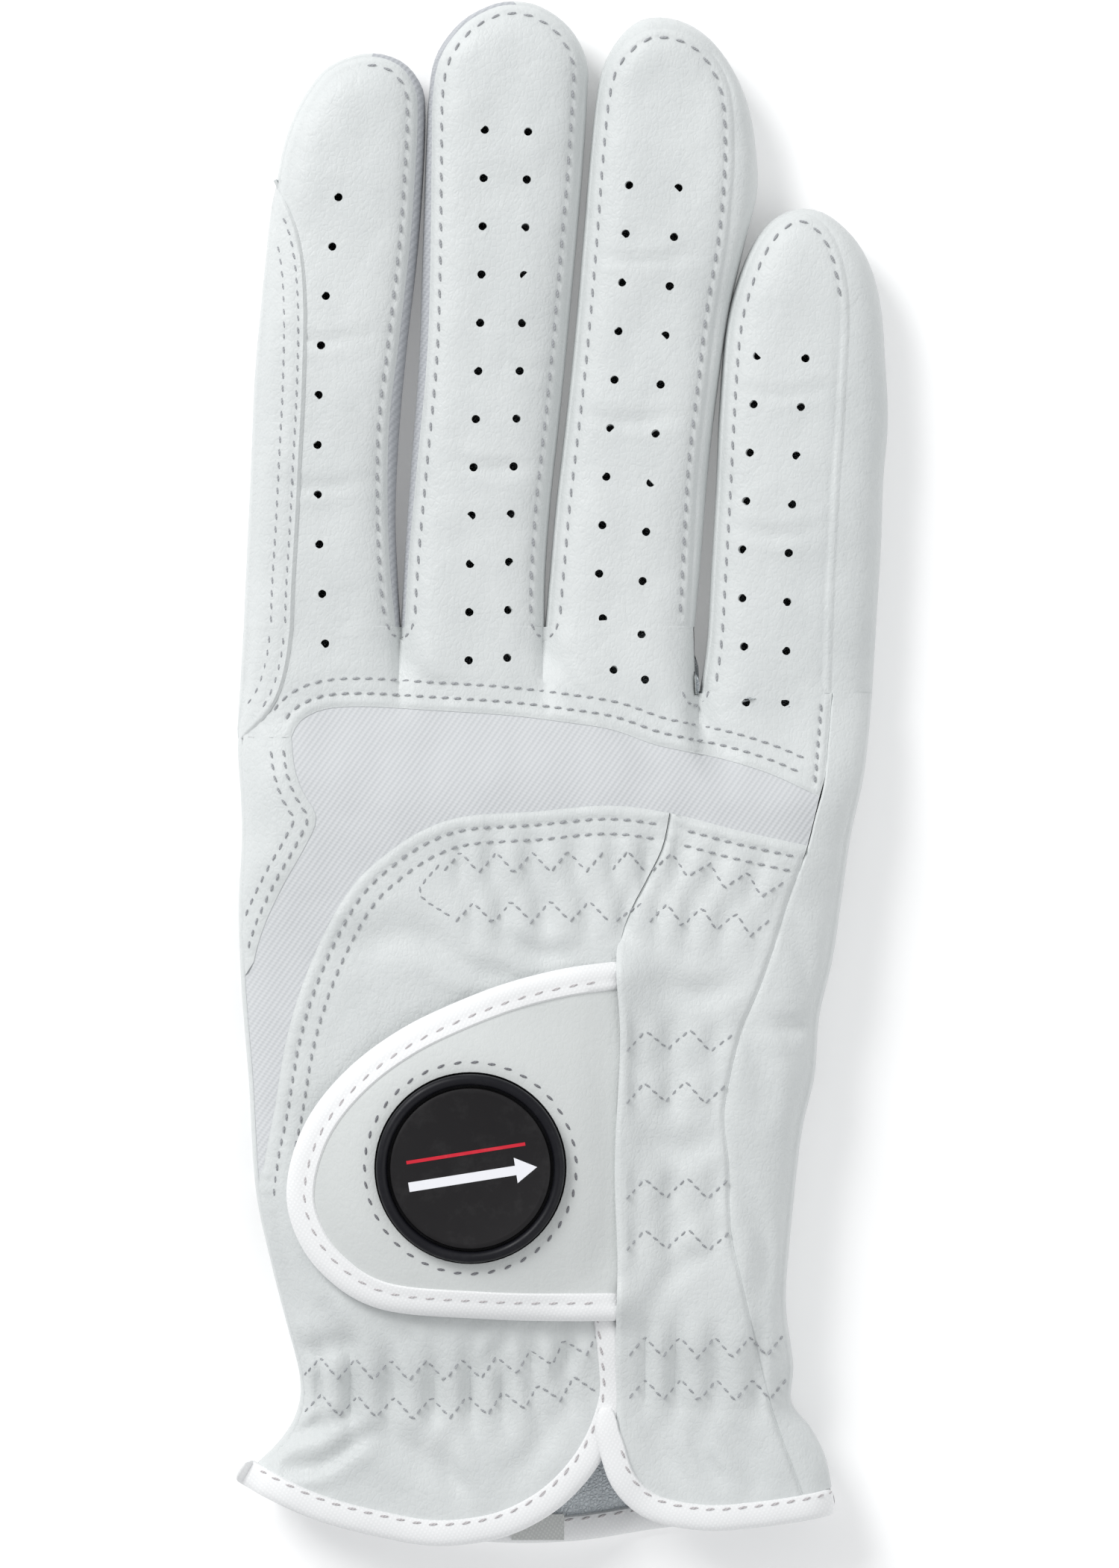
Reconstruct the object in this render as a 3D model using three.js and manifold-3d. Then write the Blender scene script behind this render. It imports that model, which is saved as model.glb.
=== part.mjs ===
// A right-hand golf glove lying back up, its thumb folded under the palm.
// Millimetres. X runs towards the little finger, Y towards the fingertips, Z up out of the back
// of the hand. The origin is the middle of the glove's outline, on the surface that it lies on.
import * as THREE from "three";
import { mergeVertices } from "three/addons/utils/BufferGeometryUtils.js";
import { TessellateModifier } from "three/addons/modifiers/TessellateModifier.js";
import Module from "manifold-3d";

const wasm = await Module();
wasm.setup();

// Driving dimensions
const LEATHER = 0.9; // thickness of a leather, knit or tape layer
const THIN = 0.6; // thickness of patches, linings and elastic tapes
const GAP = 0.3; // clearance between layers that touch on the real glove
const SEAM = 0.2; // how far each panel stops short of a seam line
const LINE_STEP = 6.5; // spacing of the points along a curved edge
const CELL = 18; // longest edge of the facets of a curved panel

const FINGER_HEIGHT = 12;
const KNUCKLE_Y = 22.6; // the crotch line where index, middle and ring finger start to bend
const LITTLE_KNUCKLE_Y = 12.2; // the little finger's, further down the hand
const HAND_HEIGHT = 15.5;
const CUFF_HEIGHT = 12.5;
const CROWN = 0.25; // share of the height by which the back falls to its edges
const SIDE_RISE = 0.2; // share of the height by which the palm rises to its edges

const THUMB_HEIGHT = 6;
const THUMB_LIFT = THUMB_HEIGHT + 2 * GAP; // how far the folded thumb raises the palm
const THUMB_ROOT = new THREE.Vector2(-46, -46);
const THUMB_END = new THREE.Vector2(10, -7);
const THUMB_ROOT_REACH = 20; // half width of the raised area at the thumb's root
const THUMB_END_REACH = 13;
const LIFT_SLOPE = 22; // distance over which the raised palm comes down to the surface

const MARKER = new THREE.Vector2(-13.4, -58.5); // centre of the ball marker on the tab
const MARKER_RADIUS = 12;
const MARKER_THICKNESS = 1.6;
const HOLDER_RADIUS = 14;
const HOLDER_FLANGE_RADIUS = 17;
const HOLDER_RIM = 3.4; // height of the holder's rim above its flange
const HOLDER_FLOOR = 1.4;
const MAGNET_RADIUS = 5;
const MAGNET_THICKNESS = 1;

// Heights of the closure's layers above the back of the hand
const LOOP_Z = GAP;
const HOOK_Z = LOOP_Z + THIN + GAP;
const TAB_LINING_Z = HOOK_Z + THIN + GAP;
const HOLDER_Z = TAB_LINING_Z + THIN + GAP;
const TAB_Z = HOLDER_Z + THIN + GAP;

const LEATHER_WHITE = [0xe4e7e8, 0.6, 0];
const KNIT_WHITE = [0xdfe4ea, 0.9, 0];
const TAPE_WHITE = [0xf2f3f4, 0.75, 0];
const TAB_GREY = [0xdcdfde, 0.7, 0];
const LINING_GREY = [0xb9c3c8, 0.9, 0];
const ELASTIC_WHITE = [0xe8e8e6, 0.95, 0];
const HOOK_GREY = [0xc9cccc, 0.9, 0];
const LABEL_GREY = [0xa0a29e, 0.9, 0];
const HOLDER_BLACK = [0x14141a, 0.45, 0];
const MARKER_BLACK = [0x232124, 0.3, 0.6];
const MAGNET_STEEL = [0xb0b2b5, 0.35, 1];

// Outlines in plan, as [x, y]

// The hand's two silhouette edges, from the knuckles to the cuff
const THUMB_SIDE = [
  [-47.4, 22.6], [-48.4, 5], [-47.9, -10], [-48.2, -22], [-47.6, -38], [-46.2, -56],
  [-44, -72], [-41.4, -82], [-39.1, -91], [-40.2, -98], [-44, -104.5], [-44.5, -118],
];
const OUTER_SIDE = [
  [49.4, 53], [46.8, 12.2], [45.6, -1], [42.6, -18], [39.2, -36], [37.4, -49], [35.3, -63],
  [33.9, -80], [34.8, -92], [37.6, -98.5], [40.6, -104], [41.4, -118],
];

// Seams of the back, each from the thumb side to the outer side or from top to bottom
const INSERT_TOP = [
  [-40.3, 5.2], [-36, 9.3], [-27, 9.9], [-8.1, 8.7], [7.7, 6.4], [18, 3.4], [31.3, -0.1],
  [38.6, -3.5],
];
const INSERT_BOTTOM = [
  [-45, -65.5], [-42.7, -49.9], [-38.5, -31.4], [-32.4, -18.6], [-25.1, -11.3], [-14.2, -6.3],
  [4, -5], [16, -6], [36.8, -10.7],
];
const INSERT_THUMB_SIDE = [
  [-40.3, 5.2], [-38.6, -1.6], [-36.4, -6.6], [-41.5, -16.8], [-45.5, -26.5], [-46.4, -36],
  [-45, -65.5],
];
const OPENING_EDGE = [[16, -6], [15.4, -12], [12.2, -16], [8.2, -23], [7.6, -50], [4.9, -80]];
const OUTER_SEAM = [
  [41, 22], [39.3, -1.6], [36.8, -10.7], [29.7, -31.3], [25.3, -46], [24.7, -55], [25.5, -69],
  [28.4, -82], [35.4, -106.4],
];
const SIDE_STRIP_EDGE = [
  [-42.8, 87.8], [-39, 79], [-38, 69], [-38.6, 51.3], [-39.8, 27.8],
];
const SIDE_STRIP_END = [[-39.9, 22.3], [-40.9, 15], [-43.6, 9], [-47.6, 5.6]];

// Hems of the cuff
const BACK_HEM = [
  [4.9, -80], [4.7, -92], [2.4, -100.5], [-4.4, -108.6], [-15, -112.4], [-26.3, -111.4],
  [-35.4, -109], [-44.2, -105.1],
];
const OUTER_HEM = [[7.9, -101.2], [10.4, -105.6], [15.5, -109.1], [24, -110.1], [40.2, -107.6]];
const PALM_HEM = [[-42.5, -106.2], [-30, -110.6], [-12, -113], [4, -113], [22, -110.4], [39.6, -107]];
const BINDING_WIDTH = 3.2;

// The closure tab, round its free end from the top of its root to the bottom
const TAB_EDGE = [
  [7.2, -28], [-8.8, -31.3], [-24.6, -38.5], [-35.8, -48.5], [-40.7, -60.5], [-38.2, -71.4],
  [-30.4, -78.4], [-18, -80.8], [7.2, -81.4],
];
const TAB_BINDING_WIDTH = 3.9;
const OUTER_PANEL_X = 8.8;

// Each finger from its root on the thumb side, round the tip, to its root on the outer side
const INDEX = [
  [-47.3, 22.9], [-46.7, 38], [-45.8, 60], [-43.9, 80], [-41.9, 93.4], [-38.5, 102.2],
  [-34.2, 106.7], [-28.6, 108.3], [-23.6, 107], [-20.9, 102.6], [-21.5, 92], [-22.9, 76],
  [-25.2, 57], [-25.8, 40], [-24.9, 22.9],
];
const MIDDLE = [
  [-23.3, 22.9], [-22.3, 42], [-20.2, 62], [-19.8, 86], [-19, 102], [-16, 111],
  [-8, 116.3], [0, 113.4], [3.8, 106.6], [3.1, 92], [0.4, 63], [-1.8, 42], [-3, 22.9],
];
const RING = [
  [-1.3, 22.9], [-0.4, 42], [1.8, 63], [4.1, 92], [5.8, 103.6], [8.8, 110.6], [14.6, 113.6],
  [21.2, 111.2], [25.8, 104.8], [27.6, 96], [27.2, 87], [24.4, 69], [21.9, 45], [19.8, 22.9],
];
const LITTLE = [
  [22, 12.5], [23, 35], [24.2, 52], [25.9, 68], [28.9, 78.6], [32, 83.4], [35.9, 85],
  [41, 83.4], [45, 79.4], [47.4, 74], [49.2, 60], [49.3, 50], [48.3, 33], [47.4, 22],
  [46.8, 12.5],
];
// The folded thumb, the same way round
const THUMB = [
  [-46.2, -28], [-41, -31.5], [-32, -29.5], [-18, -18.5], [-4, -7.5], [2, -2], [8.5, 2.2],
  [15.4, 1.2], [19, -5], [16.6, -12.2], [10, -19], [-4, -31], [-18, -43], [-28, -52.5],
  [-36, -60], [-46.2, -64.5],
];

const { clamp, lerp, smoothstep } = THREE.MathUtils;

// The x of a silhouette edge at a height y
function edgeX(edge, y) {
  let i = 1;
  while (i < edge.length - 1 && y < edge[i][1]) i++;
  const [xa, ya] = edge[i - 1];
  const [xb, yb] = edge[i];
  return lerp(xa, xb, clamp((y - ya) / (yb - ya), 0, 1));
}

// How far across the hand a point lies, from -1 at the thumb side to 1 at the outer side
function across(x, y) {
  const left = edgeX(THUMB_SIDE, y);
  const right = edgeX(OUTER_SIDE, y);
  return clamp((2 * x - left - right) / (right - left), -1, 1);
}

// How much the folded thumb raises the palm above a point of the surface below
function lift(x, y) {
  const point = new THREE.Vector2(x, y).sub(THUMB_ROOT);
  const bone = THUMB_END.clone().sub(THUMB_ROOT);
  const along = clamp(point.dot(bone) / bone.lengthSq(), 0, 1);
  const away = point.distanceTo(bone.multiplyScalar(along));
  const reach = lerp(THUMB_ROOT_REACH, THUMB_END_REACH, along);
  return THUMB_LIFT * (1 - smoothstep(away, reach, reach + LIFT_SLOPE));
}

// Height of the hand from palm to back at the middle of its width
function handHeight(y) {
  const body = lerp(HAND_HEIGHT, FINGER_HEIGHT, smoothstep(y, -5, LITTLE_KNUCKLE_Y));
  return lerp(CUFF_HEIGHT, body, smoothstep(y, -96, -80));
}

// Outer surface of the back of the hand
function backZ(x, y) {
  const u4 = across(x, y) ** 4;
  const crown = CROWN * (1 - smoothstep(y, 2, LITTLE_KNUCKLE_Y));
  return handHeight(y) * (1 - crown * (1 - Math.sqrt(1 - u4))) + 0.5 * u4 * lift(x, y);
}

// Outer surface of the palm
function palmZ(x, y) {
  const raised = lift(x, y);
  const side = smoothstep(Math.abs(across(x, y)), 0.8, 1);
  return raised + SIDE_RISE * (handHeight(y) - raised) * side;
}

// Lines and outlines

function smooth(points) {
  const curve = new THREE.SplineCurve(points.map(([x, y]) => new THREE.Vector2(x, y)));
  return curve.getSpacedPoints(Math.max(2, Math.round(curve.getLength() / LINE_STEP)));
}

const line = (...points) => points.map(([x, y]) => new THREE.Vector2(x, y));
const reversed = (points) => [...points].reverse();

// The points of a line whose y lies between two heights
const between = (points, low, high) => points.filter((p) => p.y > low && p.y < high);

// Lines laid end to end into one closed outline, anticlockwise
function outline(...lines) {
  const all = lines.flat();
  const points = all.filter((p, i) => p.distanceTo(all[(i + 1) % all.length]) > 0.4);
  return THREE.ShapeUtils.isClockWise(points) ? points.reverse() : points;
}

// A line moved to its left by a distance
function moved(points, distance, closed = false) {
  const n = points.length;
  return points.map((p, i) => {
    const before = closed || i > 0 ? points[(i + n - 1) % n] : p;
    const after = closed || i < n - 1 ? points[(i + 1) % n] : p;
    const into = p.clone().sub(before).normalize();
    const out = after.clone().sub(p).normalize();
    const tangent = into.add(out).normalize();
    const straight = Math.max(0.5, tangent.dot(out.lengthSq() > 0 ? out : tangent));
    return new THREE.Vector2(
      p.x - (tangent.y * distance) / straight,
      p.y + (tangent.x * distance) / straight,
    );
  });
}

const inset = (points, distance = SEAM) => moved(points, distance, true);

// A band of even width along a line, on its left
const band = (points, width) => outline(points, reversed(moved(points, width)));

// Solids

// A closed sheet over an outline in plan, between a lower and an upper surface
function sheet(points, low, high, holes = []) {
  const shape = new THREE.Shape(points);
  shape.holes = holes.map((hole) => new THREE.Path(hole));
  const flat = new THREE.ExtrudeGeometry(shape, { depth: 1, bevelEnabled: false });
  flat.deleteAttribute("normal");
  flat.deleteAttribute("uv");
  const geometry = new TessellateModifier(CELL, 20).modify(flat);
  const position = geometry.getAttribute("position");
  for (let i = 0; i < position.count; i++) {
    const x = position.getX(i);
    const y = position.getY(i);
    position.setZ(i, lerp(low(x, y), high(x, y), position.getZ(i)));
  }
  return geometry;
}

// A flat sheet between two heights
const plate = (points, low, high) => {
  const shape = new THREE.Shape(points);
  const geometry = new THREE.ExtrudeGeometry(shape, { depth: high - low, bevelEnabled: false });
  return geometry.translate(0, 0, low);
};

// A layer of the back, standing a height above the back's outer surface
const onBack = (points, height, thickness, holes) =>
  sheet(
    points,
    (x, y) => backZ(x, y) + height,
    (x, y) => backZ(x, y) + height + thickness,
    holes,
  );
const backPanel = (points, thickness = LEATHER) => onBack(inset(points), -thickness, thickness);
const underBack = (points) => onBack(points, -LEATHER - 2 * GAP - THIN, THIN);

// A side wall of the hand along a silhouette edge, from the palm up to a depth below the back
const sideWall = (points, edge, depth) =>
  sheet(
    band(points, LEATHER),
    (x, y) => palmZ(edgeX(edge, y), y) + LEATHER + 2 * GAP,
    (x, y) => backZ(edgeX(edge, y), y) - depth,
  );

function solid(geometry) {
  const bare = geometry.index ? geometry.toNonIndexed() : geometry.clone();
  bare.deleteAttribute("normal");
  bare.deleteAttribute("uv");
  const merged = mergeVertices(bare, 1e-3);
  return new wasm.Manifold(
    new wasm.Mesh({
      numProp: 3,
      vertProperties: merged.getAttribute("position").array,
      triVerts: new Uint32Array(merged.index.array),
    }),
  );
}

function joined(a, b) {
  const mesh = solid(a).add(solid(b)).getMesh();
  return new THREE.BufferGeometry()
    .setAttribute("position", new THREE.BufferAttribute(mesh.vertProperties, 3))
    .setIndex(new THREE.BufferAttribute(mesh.triVerts, 1));
}

const group = new THREE.Group();

function part(name, geometry, [color, roughness, metalness]) {
  geometry.computeVertexNormals();
  const material = new THREE.MeshStandardMaterial({ color, roughness, metalness });
  const mesh = new THREE.Mesh(geometry, material);
  mesh.name = name;
  group.add(mesh);
  return mesh;
}

// Fingers: a back and a front panel with a strip of leather or knit down each side

function finger(name, points, height, strips, colors) {
  const edge = smooth(points);
  const tip = edge.reduce((best, p, i) => (p.y > edge[best].y ? i : best), 0);
  const face = inset(outline(edge));
  part(name + "_back", plate(face, height - LEATHER, height), LEATHER_WHITE);
  part(name + "_front", plate(face, 0, LEATHER), LEATHER_WHITE);
  const pastTip = edge[tip].clone().lerp(edge[tip + 1], (2 * LEATHER) / LINE_STEP);
  const sides = [edge.slice(0, tip + 1), [pastTip, ...edge.slice(tip + 1)]];
  sides.forEach((side, i) => {
    const strip = plate(band(side, -LEATHER), LEATHER + GAP, height - LEATHER - GAP);
    part(name + "_" + strips[i], strip, colors[i]);
  });
}

finger("index", INDEX, FINGER_HEIGHT, ["thumb_side", "fourchette"], [LEATHER_WHITE, KNIT_WHITE]);
finger(
  "middle",
  MIDDLE,
  FINGER_HEIGHT,
  ["index_side_fourchette", "ring_side_fourchette"],
  [KNIT_WHITE, LEATHER_WHITE],
);
finger(
  "ring",
  RING,
  FINGER_HEIGHT,
  ["middle_side_fourchette", "little_side_fourchette"],
  [LEATHER_WHITE, LEATHER_WHITE],
);
finger("little", LITTLE, FINGER_HEIGHT, ["fourchette", "outer_side"], [LEATHER_WHITE, LEATHER_WHITE]);

// The overlay that reinforces the index finger's thumb side, with its lower end on the hand
const indexEdge = between(smooth(INDEX.slice(0, 5)), KNUCKLE_Y, 86);
part(
  "index_side_strip",
  plate(
    inset(outline(smooth(SIDE_STRIP_EDGE), line([-39.9, 22.9]), indexEdge)),
    FINGER_HEIGHT + GAP,
    FINGER_HEIGHT + GAP + THIN,
  ),
  LEATHER_WHITE,
);

// Panels of the back of the hand
const thumbSide = smooth(THUMB_SIDE);
const outerSide = smooth(OUTER_SIDE);
const insertTop = smooth(INSERT_TOP);
const insertBottom = smooth(INSERT_BOTTOM);
const insertThumbSide = smooth(INSERT_THUMB_SIDE);
const openingEdge = smooth(OPENING_EDGE);
const outerSeam = smooth(OUTER_SEAM);
const backHem = smooth(BACK_HEM);
const outerHem = smooth(OUTER_HEM);
const palmHem = smooth(PALM_HEM);
const KNUCKLE_EDGE = [[-47.3, KNUCKLE_Y], [20, KNUCKLE_Y], [20.8, LITTLE_KNUCKLE_Y]];

part(
  "knuckle_panel",
  backPanel(
    outline(
      line(...KNUCKLE_EDGE, [40.3, LITTLE_KNUCKLE_Y]),
      between(outerSeam, -3, LITTLE_KNUCKLE_Y - 1),
      reversed(insertTop),
      between(thumbSide, 5.5, KNUCKLE_Y - 1).reverse(),
    ),
  ),
  LEATHER_WHITE,
);
part(
  "knuckle_side_strip",
  onBack(
    inset(outline(smooth(SIDE_STRIP_END), between(thumbSide, 6.5, KNUCKLE_Y - 1).reverse(),
      line([-47.2, 22.3]))),
    2 * GAP,
    THIN,
  ),
  LEATHER_WHITE,
);
part(
  "knuckle_insert",
  backPanel(outline(insertTop, reversed(insertBottom), reversed(insertThumbSide))),
  KNIT_WHITE,
);
part(
  "thumb_side_wedge",
  backPanel(
    outline(between(insertThumbSide, -27, 5), between(thumbSide, -26, 5.2).reverse()),
  ),
  LEATHER_WHITE,
);
part(
  "wrist_back_panel",
  backPanel(
    outline(
      insertBottom.filter((p) => p.x < 15.6),
      openingEdge,
      backHem,
      between(thumbSide, -104, -67).reverse(),
    ),
  ),
  LEATHER_WHITE,
);
part(
  "outer_side_panel",
  backPanel(
    outline(
      line([16.6, -6.4], [16.2, -12.4], [13.2, -16.6], [OUTER_PANEL_X, -24]),
      line([OUTER_PANEL_X, -50], [OUTER_PANEL_X, -80], [OUTER_PANEL_X, -99.6]),
      outerHem.slice(1),
      between(outerSeam, -106, -11.5).reverse(),
      insertBottom.filter((p) => p.x > 17).reverse(),
    ),
  ),
  LEATHER_WHITE,
);

// The palm leather, which also wraps over the hand's outer edge to the side seam
part(
  "palm_panel",
  sheet(
    inset(
      outline(
        line(...KNUCKLE_EDGE, [46.4, LITTLE_KNUCKLE_Y]),
        between(outerSide, -106, LITTLE_KNUCKLE_Y - 1),
        reversed(palmHem),
        between(thumbSide, -104, KNUCKLE_Y - 1).reverse(),
      ),
      0.7,
    ),
    palmZ,
    (x, y) => palmZ(x, y) + LEATHER,
  ),
  LEATHER_WHITE,
);
const outerEdge = between(outerSide, -106, LITTLE_KNUCKLE_Y - 0.4);
part(
  "outer_edge_wrap",
  joined(
    backPanel(outline(between(outerSeam, -105.6, LITTLE_KNUCKLE_Y - 0.4), reversed(outerEdge))),
    sideWall(reversed(moved(outerEdge, -SEAM)), OUTER_SIDE, LEATHER / 2),
  ),
  LEATHER_WHITE,
);
const WALL_TOP = LEATHER + GAP;
part(
  "index_root_wall",
  sideWall(between(thumbSide, -25, KNUCKLE_Y - 0.4), THUMB_SIDE, WALL_TOP),
  LEATHER_WHITE,
);
part(
  "wrist_side_wall",
  sideWall(between(thumbSide, -103, -68), THUMB_SIDE, WALL_TOP),
  LEATHER_WHITE,
);

// Tapes round the hems
const binding = (points, width) =>
  onBack(band(points, width), -LEATHER - GAP, LEATHER + 2 * GAP);
part("cuff_binding_back", binding(moved(backHem, SEAM), BINDING_WIDTH), TAPE_WHITE);
part("cuff_binding_outer", binding(moved(outerHem, -SEAM), -BINDING_WIDTH), TAPE_WHITE);
part(
  "cuff_binding_palm",
  sheet(
    band(moved(palmHem, -SEAM), -BINDING_WIDTH),
    palmZ,
    (x, y) => palmZ(x, y) + LEATHER + GAP,
  ),
  TAPE_WHITE,
);
part(
  "size_label",
  sheet(
    line([-7.5, -112], [0.6, -112], [0.6, -104], [-7.5, -104]),
    (x, y) => palmZ(x, y) + LEATHER + GAP,
    (x, y) => palmZ(x, y) + LEATHER + GAP + THIN,
  ),
  LABEL_GREY,
);

// Elastic tapes sewn inside the back, and the loop patch under the tab
const ELASTICS = {
  knuckle_elastic: [[-19, -12.6], [15.6, -12.6], [33, -16.4], [30, -24], [8.6, -21.4], [-19, -21.2]],
  closure_elastic_upper: [[9.6, -38.4], [24.6, -38.4], [23, -49.4], [9.6, -49.4]],
  closure_elastic_lower: [[9.6, -60.4], [23.4, -60.4], [23.4, -71.2], [9.6, -71.2]],
  wrist_elastic_thumb_side: [[-33, -88], [4.8, -86.2], [3.4, -93.6], [-33, -95.4]],
  wrist_elastic_outer_side: [[10, -85], [29, -85], [31, -93], [10, -93]],
};
for (const [name, corners] of Object.entries(ELASTICS)) {
  part(name, underBack(outline(line(...corners))), ELASTIC_WHITE);
}
part(
  "loop_patch",
  onBack(line([-33, -75], [-33, -49], [-22, -42], [-1, -36], [-1, -75]), LOOP_Z, THIN),
  HOOK_GREY,
);

// The closure tab
const tabEdge = smooth(TAB_EDGE);
const tabInner = moved(tabEdge, TAB_BINDING_WIDTH + GAP);
const circle = (radius, steps) =>
  new THREE.EllipseCurve(MARKER.x, MARKER.y, radius, radius).getPoints(steps).slice(1);
part(
  "tab_top",
  onBack(outline(tabInner), TAB_Z, LEATHER, [circle(HOLDER_RADIUS + GAP, 20).reverse()]),
  TAB_GREY,
);
part(
  "tab_binding",
  onBack(band(tabEdge, TAB_BINDING_WIDTH), TAB_LINING_Z, TAB_Z + LEATHER - TAB_LINING_Z + GAP),
  TAPE_WHITE,
);
part("tab_lining", onBack(inset(outline(tabInner)), TAB_LINING_Z, THIN), LINING_GREY);
part(
  "hook_patch",
  onBack(line([-35, -72], [-35, -51], [-24, -43], [-8, -38], [-8, -74]), HOOK_Z, THIN),
  HOOK_GREY,
);

// The ball marker, its magnet and the holder that is sewn under the tab's leather
const turned = (profile) => {
  const points = profile.map(([r, z]) => new THREE.Vector2(r, z));
  return new THREE.LatheGeometry(points, 32).rotateX(Math.PI / 2);
};
const holderZ = backZ(MARKER.x, MARKER.y) + HOLDER_Z;
const holder = part(
  "marker_holder",
  turned([
    [0, 0],
    [HOLDER_FLANGE_RADIUS, 0],
    [HOLDER_FLANGE_RADIUS, THIN],
    [HOLDER_RADIUS, THIN],
    [HOLDER_RADIUS, HOLDER_RIM],
    [HOLDER_RADIUS - 0.5, HOLDER_RIM + 0.5],
    [MARKER_RADIUS + 0.8, HOLDER_RIM + 0.5],
    [MARKER_RADIUS + GAP, HOLDER_RIM],
    [MARKER_RADIUS + GAP, HOLDER_FLOOR],
    [MAGNET_RADIUS + GAP, HOLDER_FLOOR],
    [MAGNET_RADIUS + GAP, GAP],
    [0, GAP],
  ]),
  HOLDER_BLACK,
);
holder.position.set(MARKER.x, MARKER.y, holderZ);
const disc = (radius, thickness) =>
  turned([[0, 0], [radius, 0], [radius, thickness - 0.3], [radius - 0.3, thickness], [0, thickness]]);
const magnet = part("marker_magnet", disc(MAGNET_RADIUS, MAGNET_THICKNESS - GAP), MAGNET_STEEL);
magnet.position.set(MARKER.x, MARKER.y, holderZ + 2 * GAP);
const marker = part("marker_disc", disc(MARKER_RADIUS, MARKER_THICKNESS), MARKER_BLACK);
marker.position.set(MARKER.x, MARKER.y, holderZ + HOLDER_FLOOR + GAP);

// The thumb, built like a finger and folded flat under the palm
finger("thumb", THUMB, THUMB_HEIGHT, ["upper_strip", "lower_strip"], [LEATHER_WHITE, LEATHER_WHITE]);

export default group;
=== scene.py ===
"""A right-hand golf glove in thin white leather, lying back up with its thumb folded under.

Lengths in this file are millimetres until a finished piece is scaled to metres. X runs towards
the little finger, Y towards the fingertips and Z up out of the back of the hand.
"""
import math

import bmesh
import bpy
import numpy as np
from mathutils import Matrix, Vector, noise


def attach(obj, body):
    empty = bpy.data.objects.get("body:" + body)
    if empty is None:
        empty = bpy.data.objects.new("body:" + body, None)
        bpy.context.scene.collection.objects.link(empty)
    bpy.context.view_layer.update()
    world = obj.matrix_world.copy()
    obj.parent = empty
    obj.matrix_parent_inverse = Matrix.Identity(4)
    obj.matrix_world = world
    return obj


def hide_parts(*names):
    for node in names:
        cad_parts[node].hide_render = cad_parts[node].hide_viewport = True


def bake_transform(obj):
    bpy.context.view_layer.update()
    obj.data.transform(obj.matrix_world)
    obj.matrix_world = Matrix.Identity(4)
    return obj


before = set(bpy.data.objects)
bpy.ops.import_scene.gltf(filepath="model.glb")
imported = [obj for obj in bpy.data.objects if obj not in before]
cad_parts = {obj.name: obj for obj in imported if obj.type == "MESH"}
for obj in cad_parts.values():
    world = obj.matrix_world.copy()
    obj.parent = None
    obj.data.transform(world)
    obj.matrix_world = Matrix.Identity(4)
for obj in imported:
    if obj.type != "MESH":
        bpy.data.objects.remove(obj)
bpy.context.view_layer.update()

MM = 0.001
LEATHER = 0.85  # thicknesses
KNIT = 0.8
STITCH_PITCH = 2.5
DOUBLE_PITCH = 1.9
DOUBLE_STITCH = (0.58, 0.18, 0.17)  # half length, width and height of a stitch in a double row

FINGER_HEIGHT = 12.0
FINGER_MIDDLE = 5.6  # height at which a finger is widest
HAND_HEIGHT = 15.3
CUFF_HEIGHT = 12.4
HAND_MIDDLE = 6.4  # height at which the hand is widest, where no thumb lies under it
FLOOR_GAP = 0.1
KNUCKLE_Y = 22.0
LITTLE_KNUCKLE_Y = 11.8
THUMB_HEIGHT = 5.9
THUMB_LIFT = 6.5  # how far the folded thumb lifts the palm
THUMB_ROOT = np.array([-46.0, -46.0])
THUMB_BONE = np.array([56.0, 39.0])  # from the thumb's root to its tip
ROOT_REACH, TIP_REACH = 20, 13  # how far about its bone the thumb lifts the palm in full
LIFT_SLOPE = 22
BACK_SHOULDER = 13  # how far in from the silhouette each rounded edge reaches
PALM_SHOULDER = 11
FINGER_SHOULDER = 8.5
FINGER_FLOOR_SHOULDER = 8
CUFF_Y = (-96, -80)  # where the hand's height changes, at the cuff and towards the fingers
FINGERS_Y = (-5, 14)

# ---------------------------------------------------------------- outlines in plan, as [x, y]

THUMB_SIDE = [
    [-47.5, 22], [-48.3, 8], [-48.6, 3.6], [-48.1, -4], [-47.9, -10], [-48.3, -20],
    [-47.9, -32], [-46.8, -46], [-45.8, -62], [-43.6, -73], [-41.4, -82], [-39.3, -90.5],
    [-39.6, -95.6], [-42, -100], [-46.4, -104.4],
]
OUTER_SIDE = [
    [46.9, 12], [46.4, 6], [45.5, -1], [43.6, -9.6], [42.3, -18.6], [40.9, -28], [38.9, -36.6],
    [38.2, -45.5], [36.2, -54.4], [34.4, -71], [33.9, -80], [35, -89], [34.7, -94.6],
    [37.6, -98.4], [39.9, -103], [41, -108.6],
]
INSERT_TOP = [
    [-40.3, 5.4], [-39, 7.8], [-35.4, 9.6], [-29.4, 10], [-20.3, 9.5], [-8.1, 8.7], [1, 7.6],
    [7.7, 6.5], [13.7, 4.4], [18, 3.4], [24, 2.2], [31.3, -0.1], [38.6, -3.5],
]
INSERT_BOTTOM = [
    [-45.2, -66], [-44.2, -57.5], [-42.7, -49.9], [-41, -40], [-38.5, -31.4], [-34.8, -22.9],
    [-30.6, -16.2], [-25.1, -11.3], [-20, -8.2], [-14.2, -6.4], [-4, -5.7], [7, -4.8],
    [16.2, -5.9], [26, -8.4], [36.8, -10.8],
]
INSERT_THUMB_SIDE = [
    [-40.3, 5.4], [-39.8, 1], [-38.6, -2.6], [-36.5, -6.6], [-38.2, -11], [-41.5, -16.8],
    [-44.6, -23.6], [-46.2, -30.4], [-46.4, -40], [-46, -52], [-45.2, -66],
]
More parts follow.
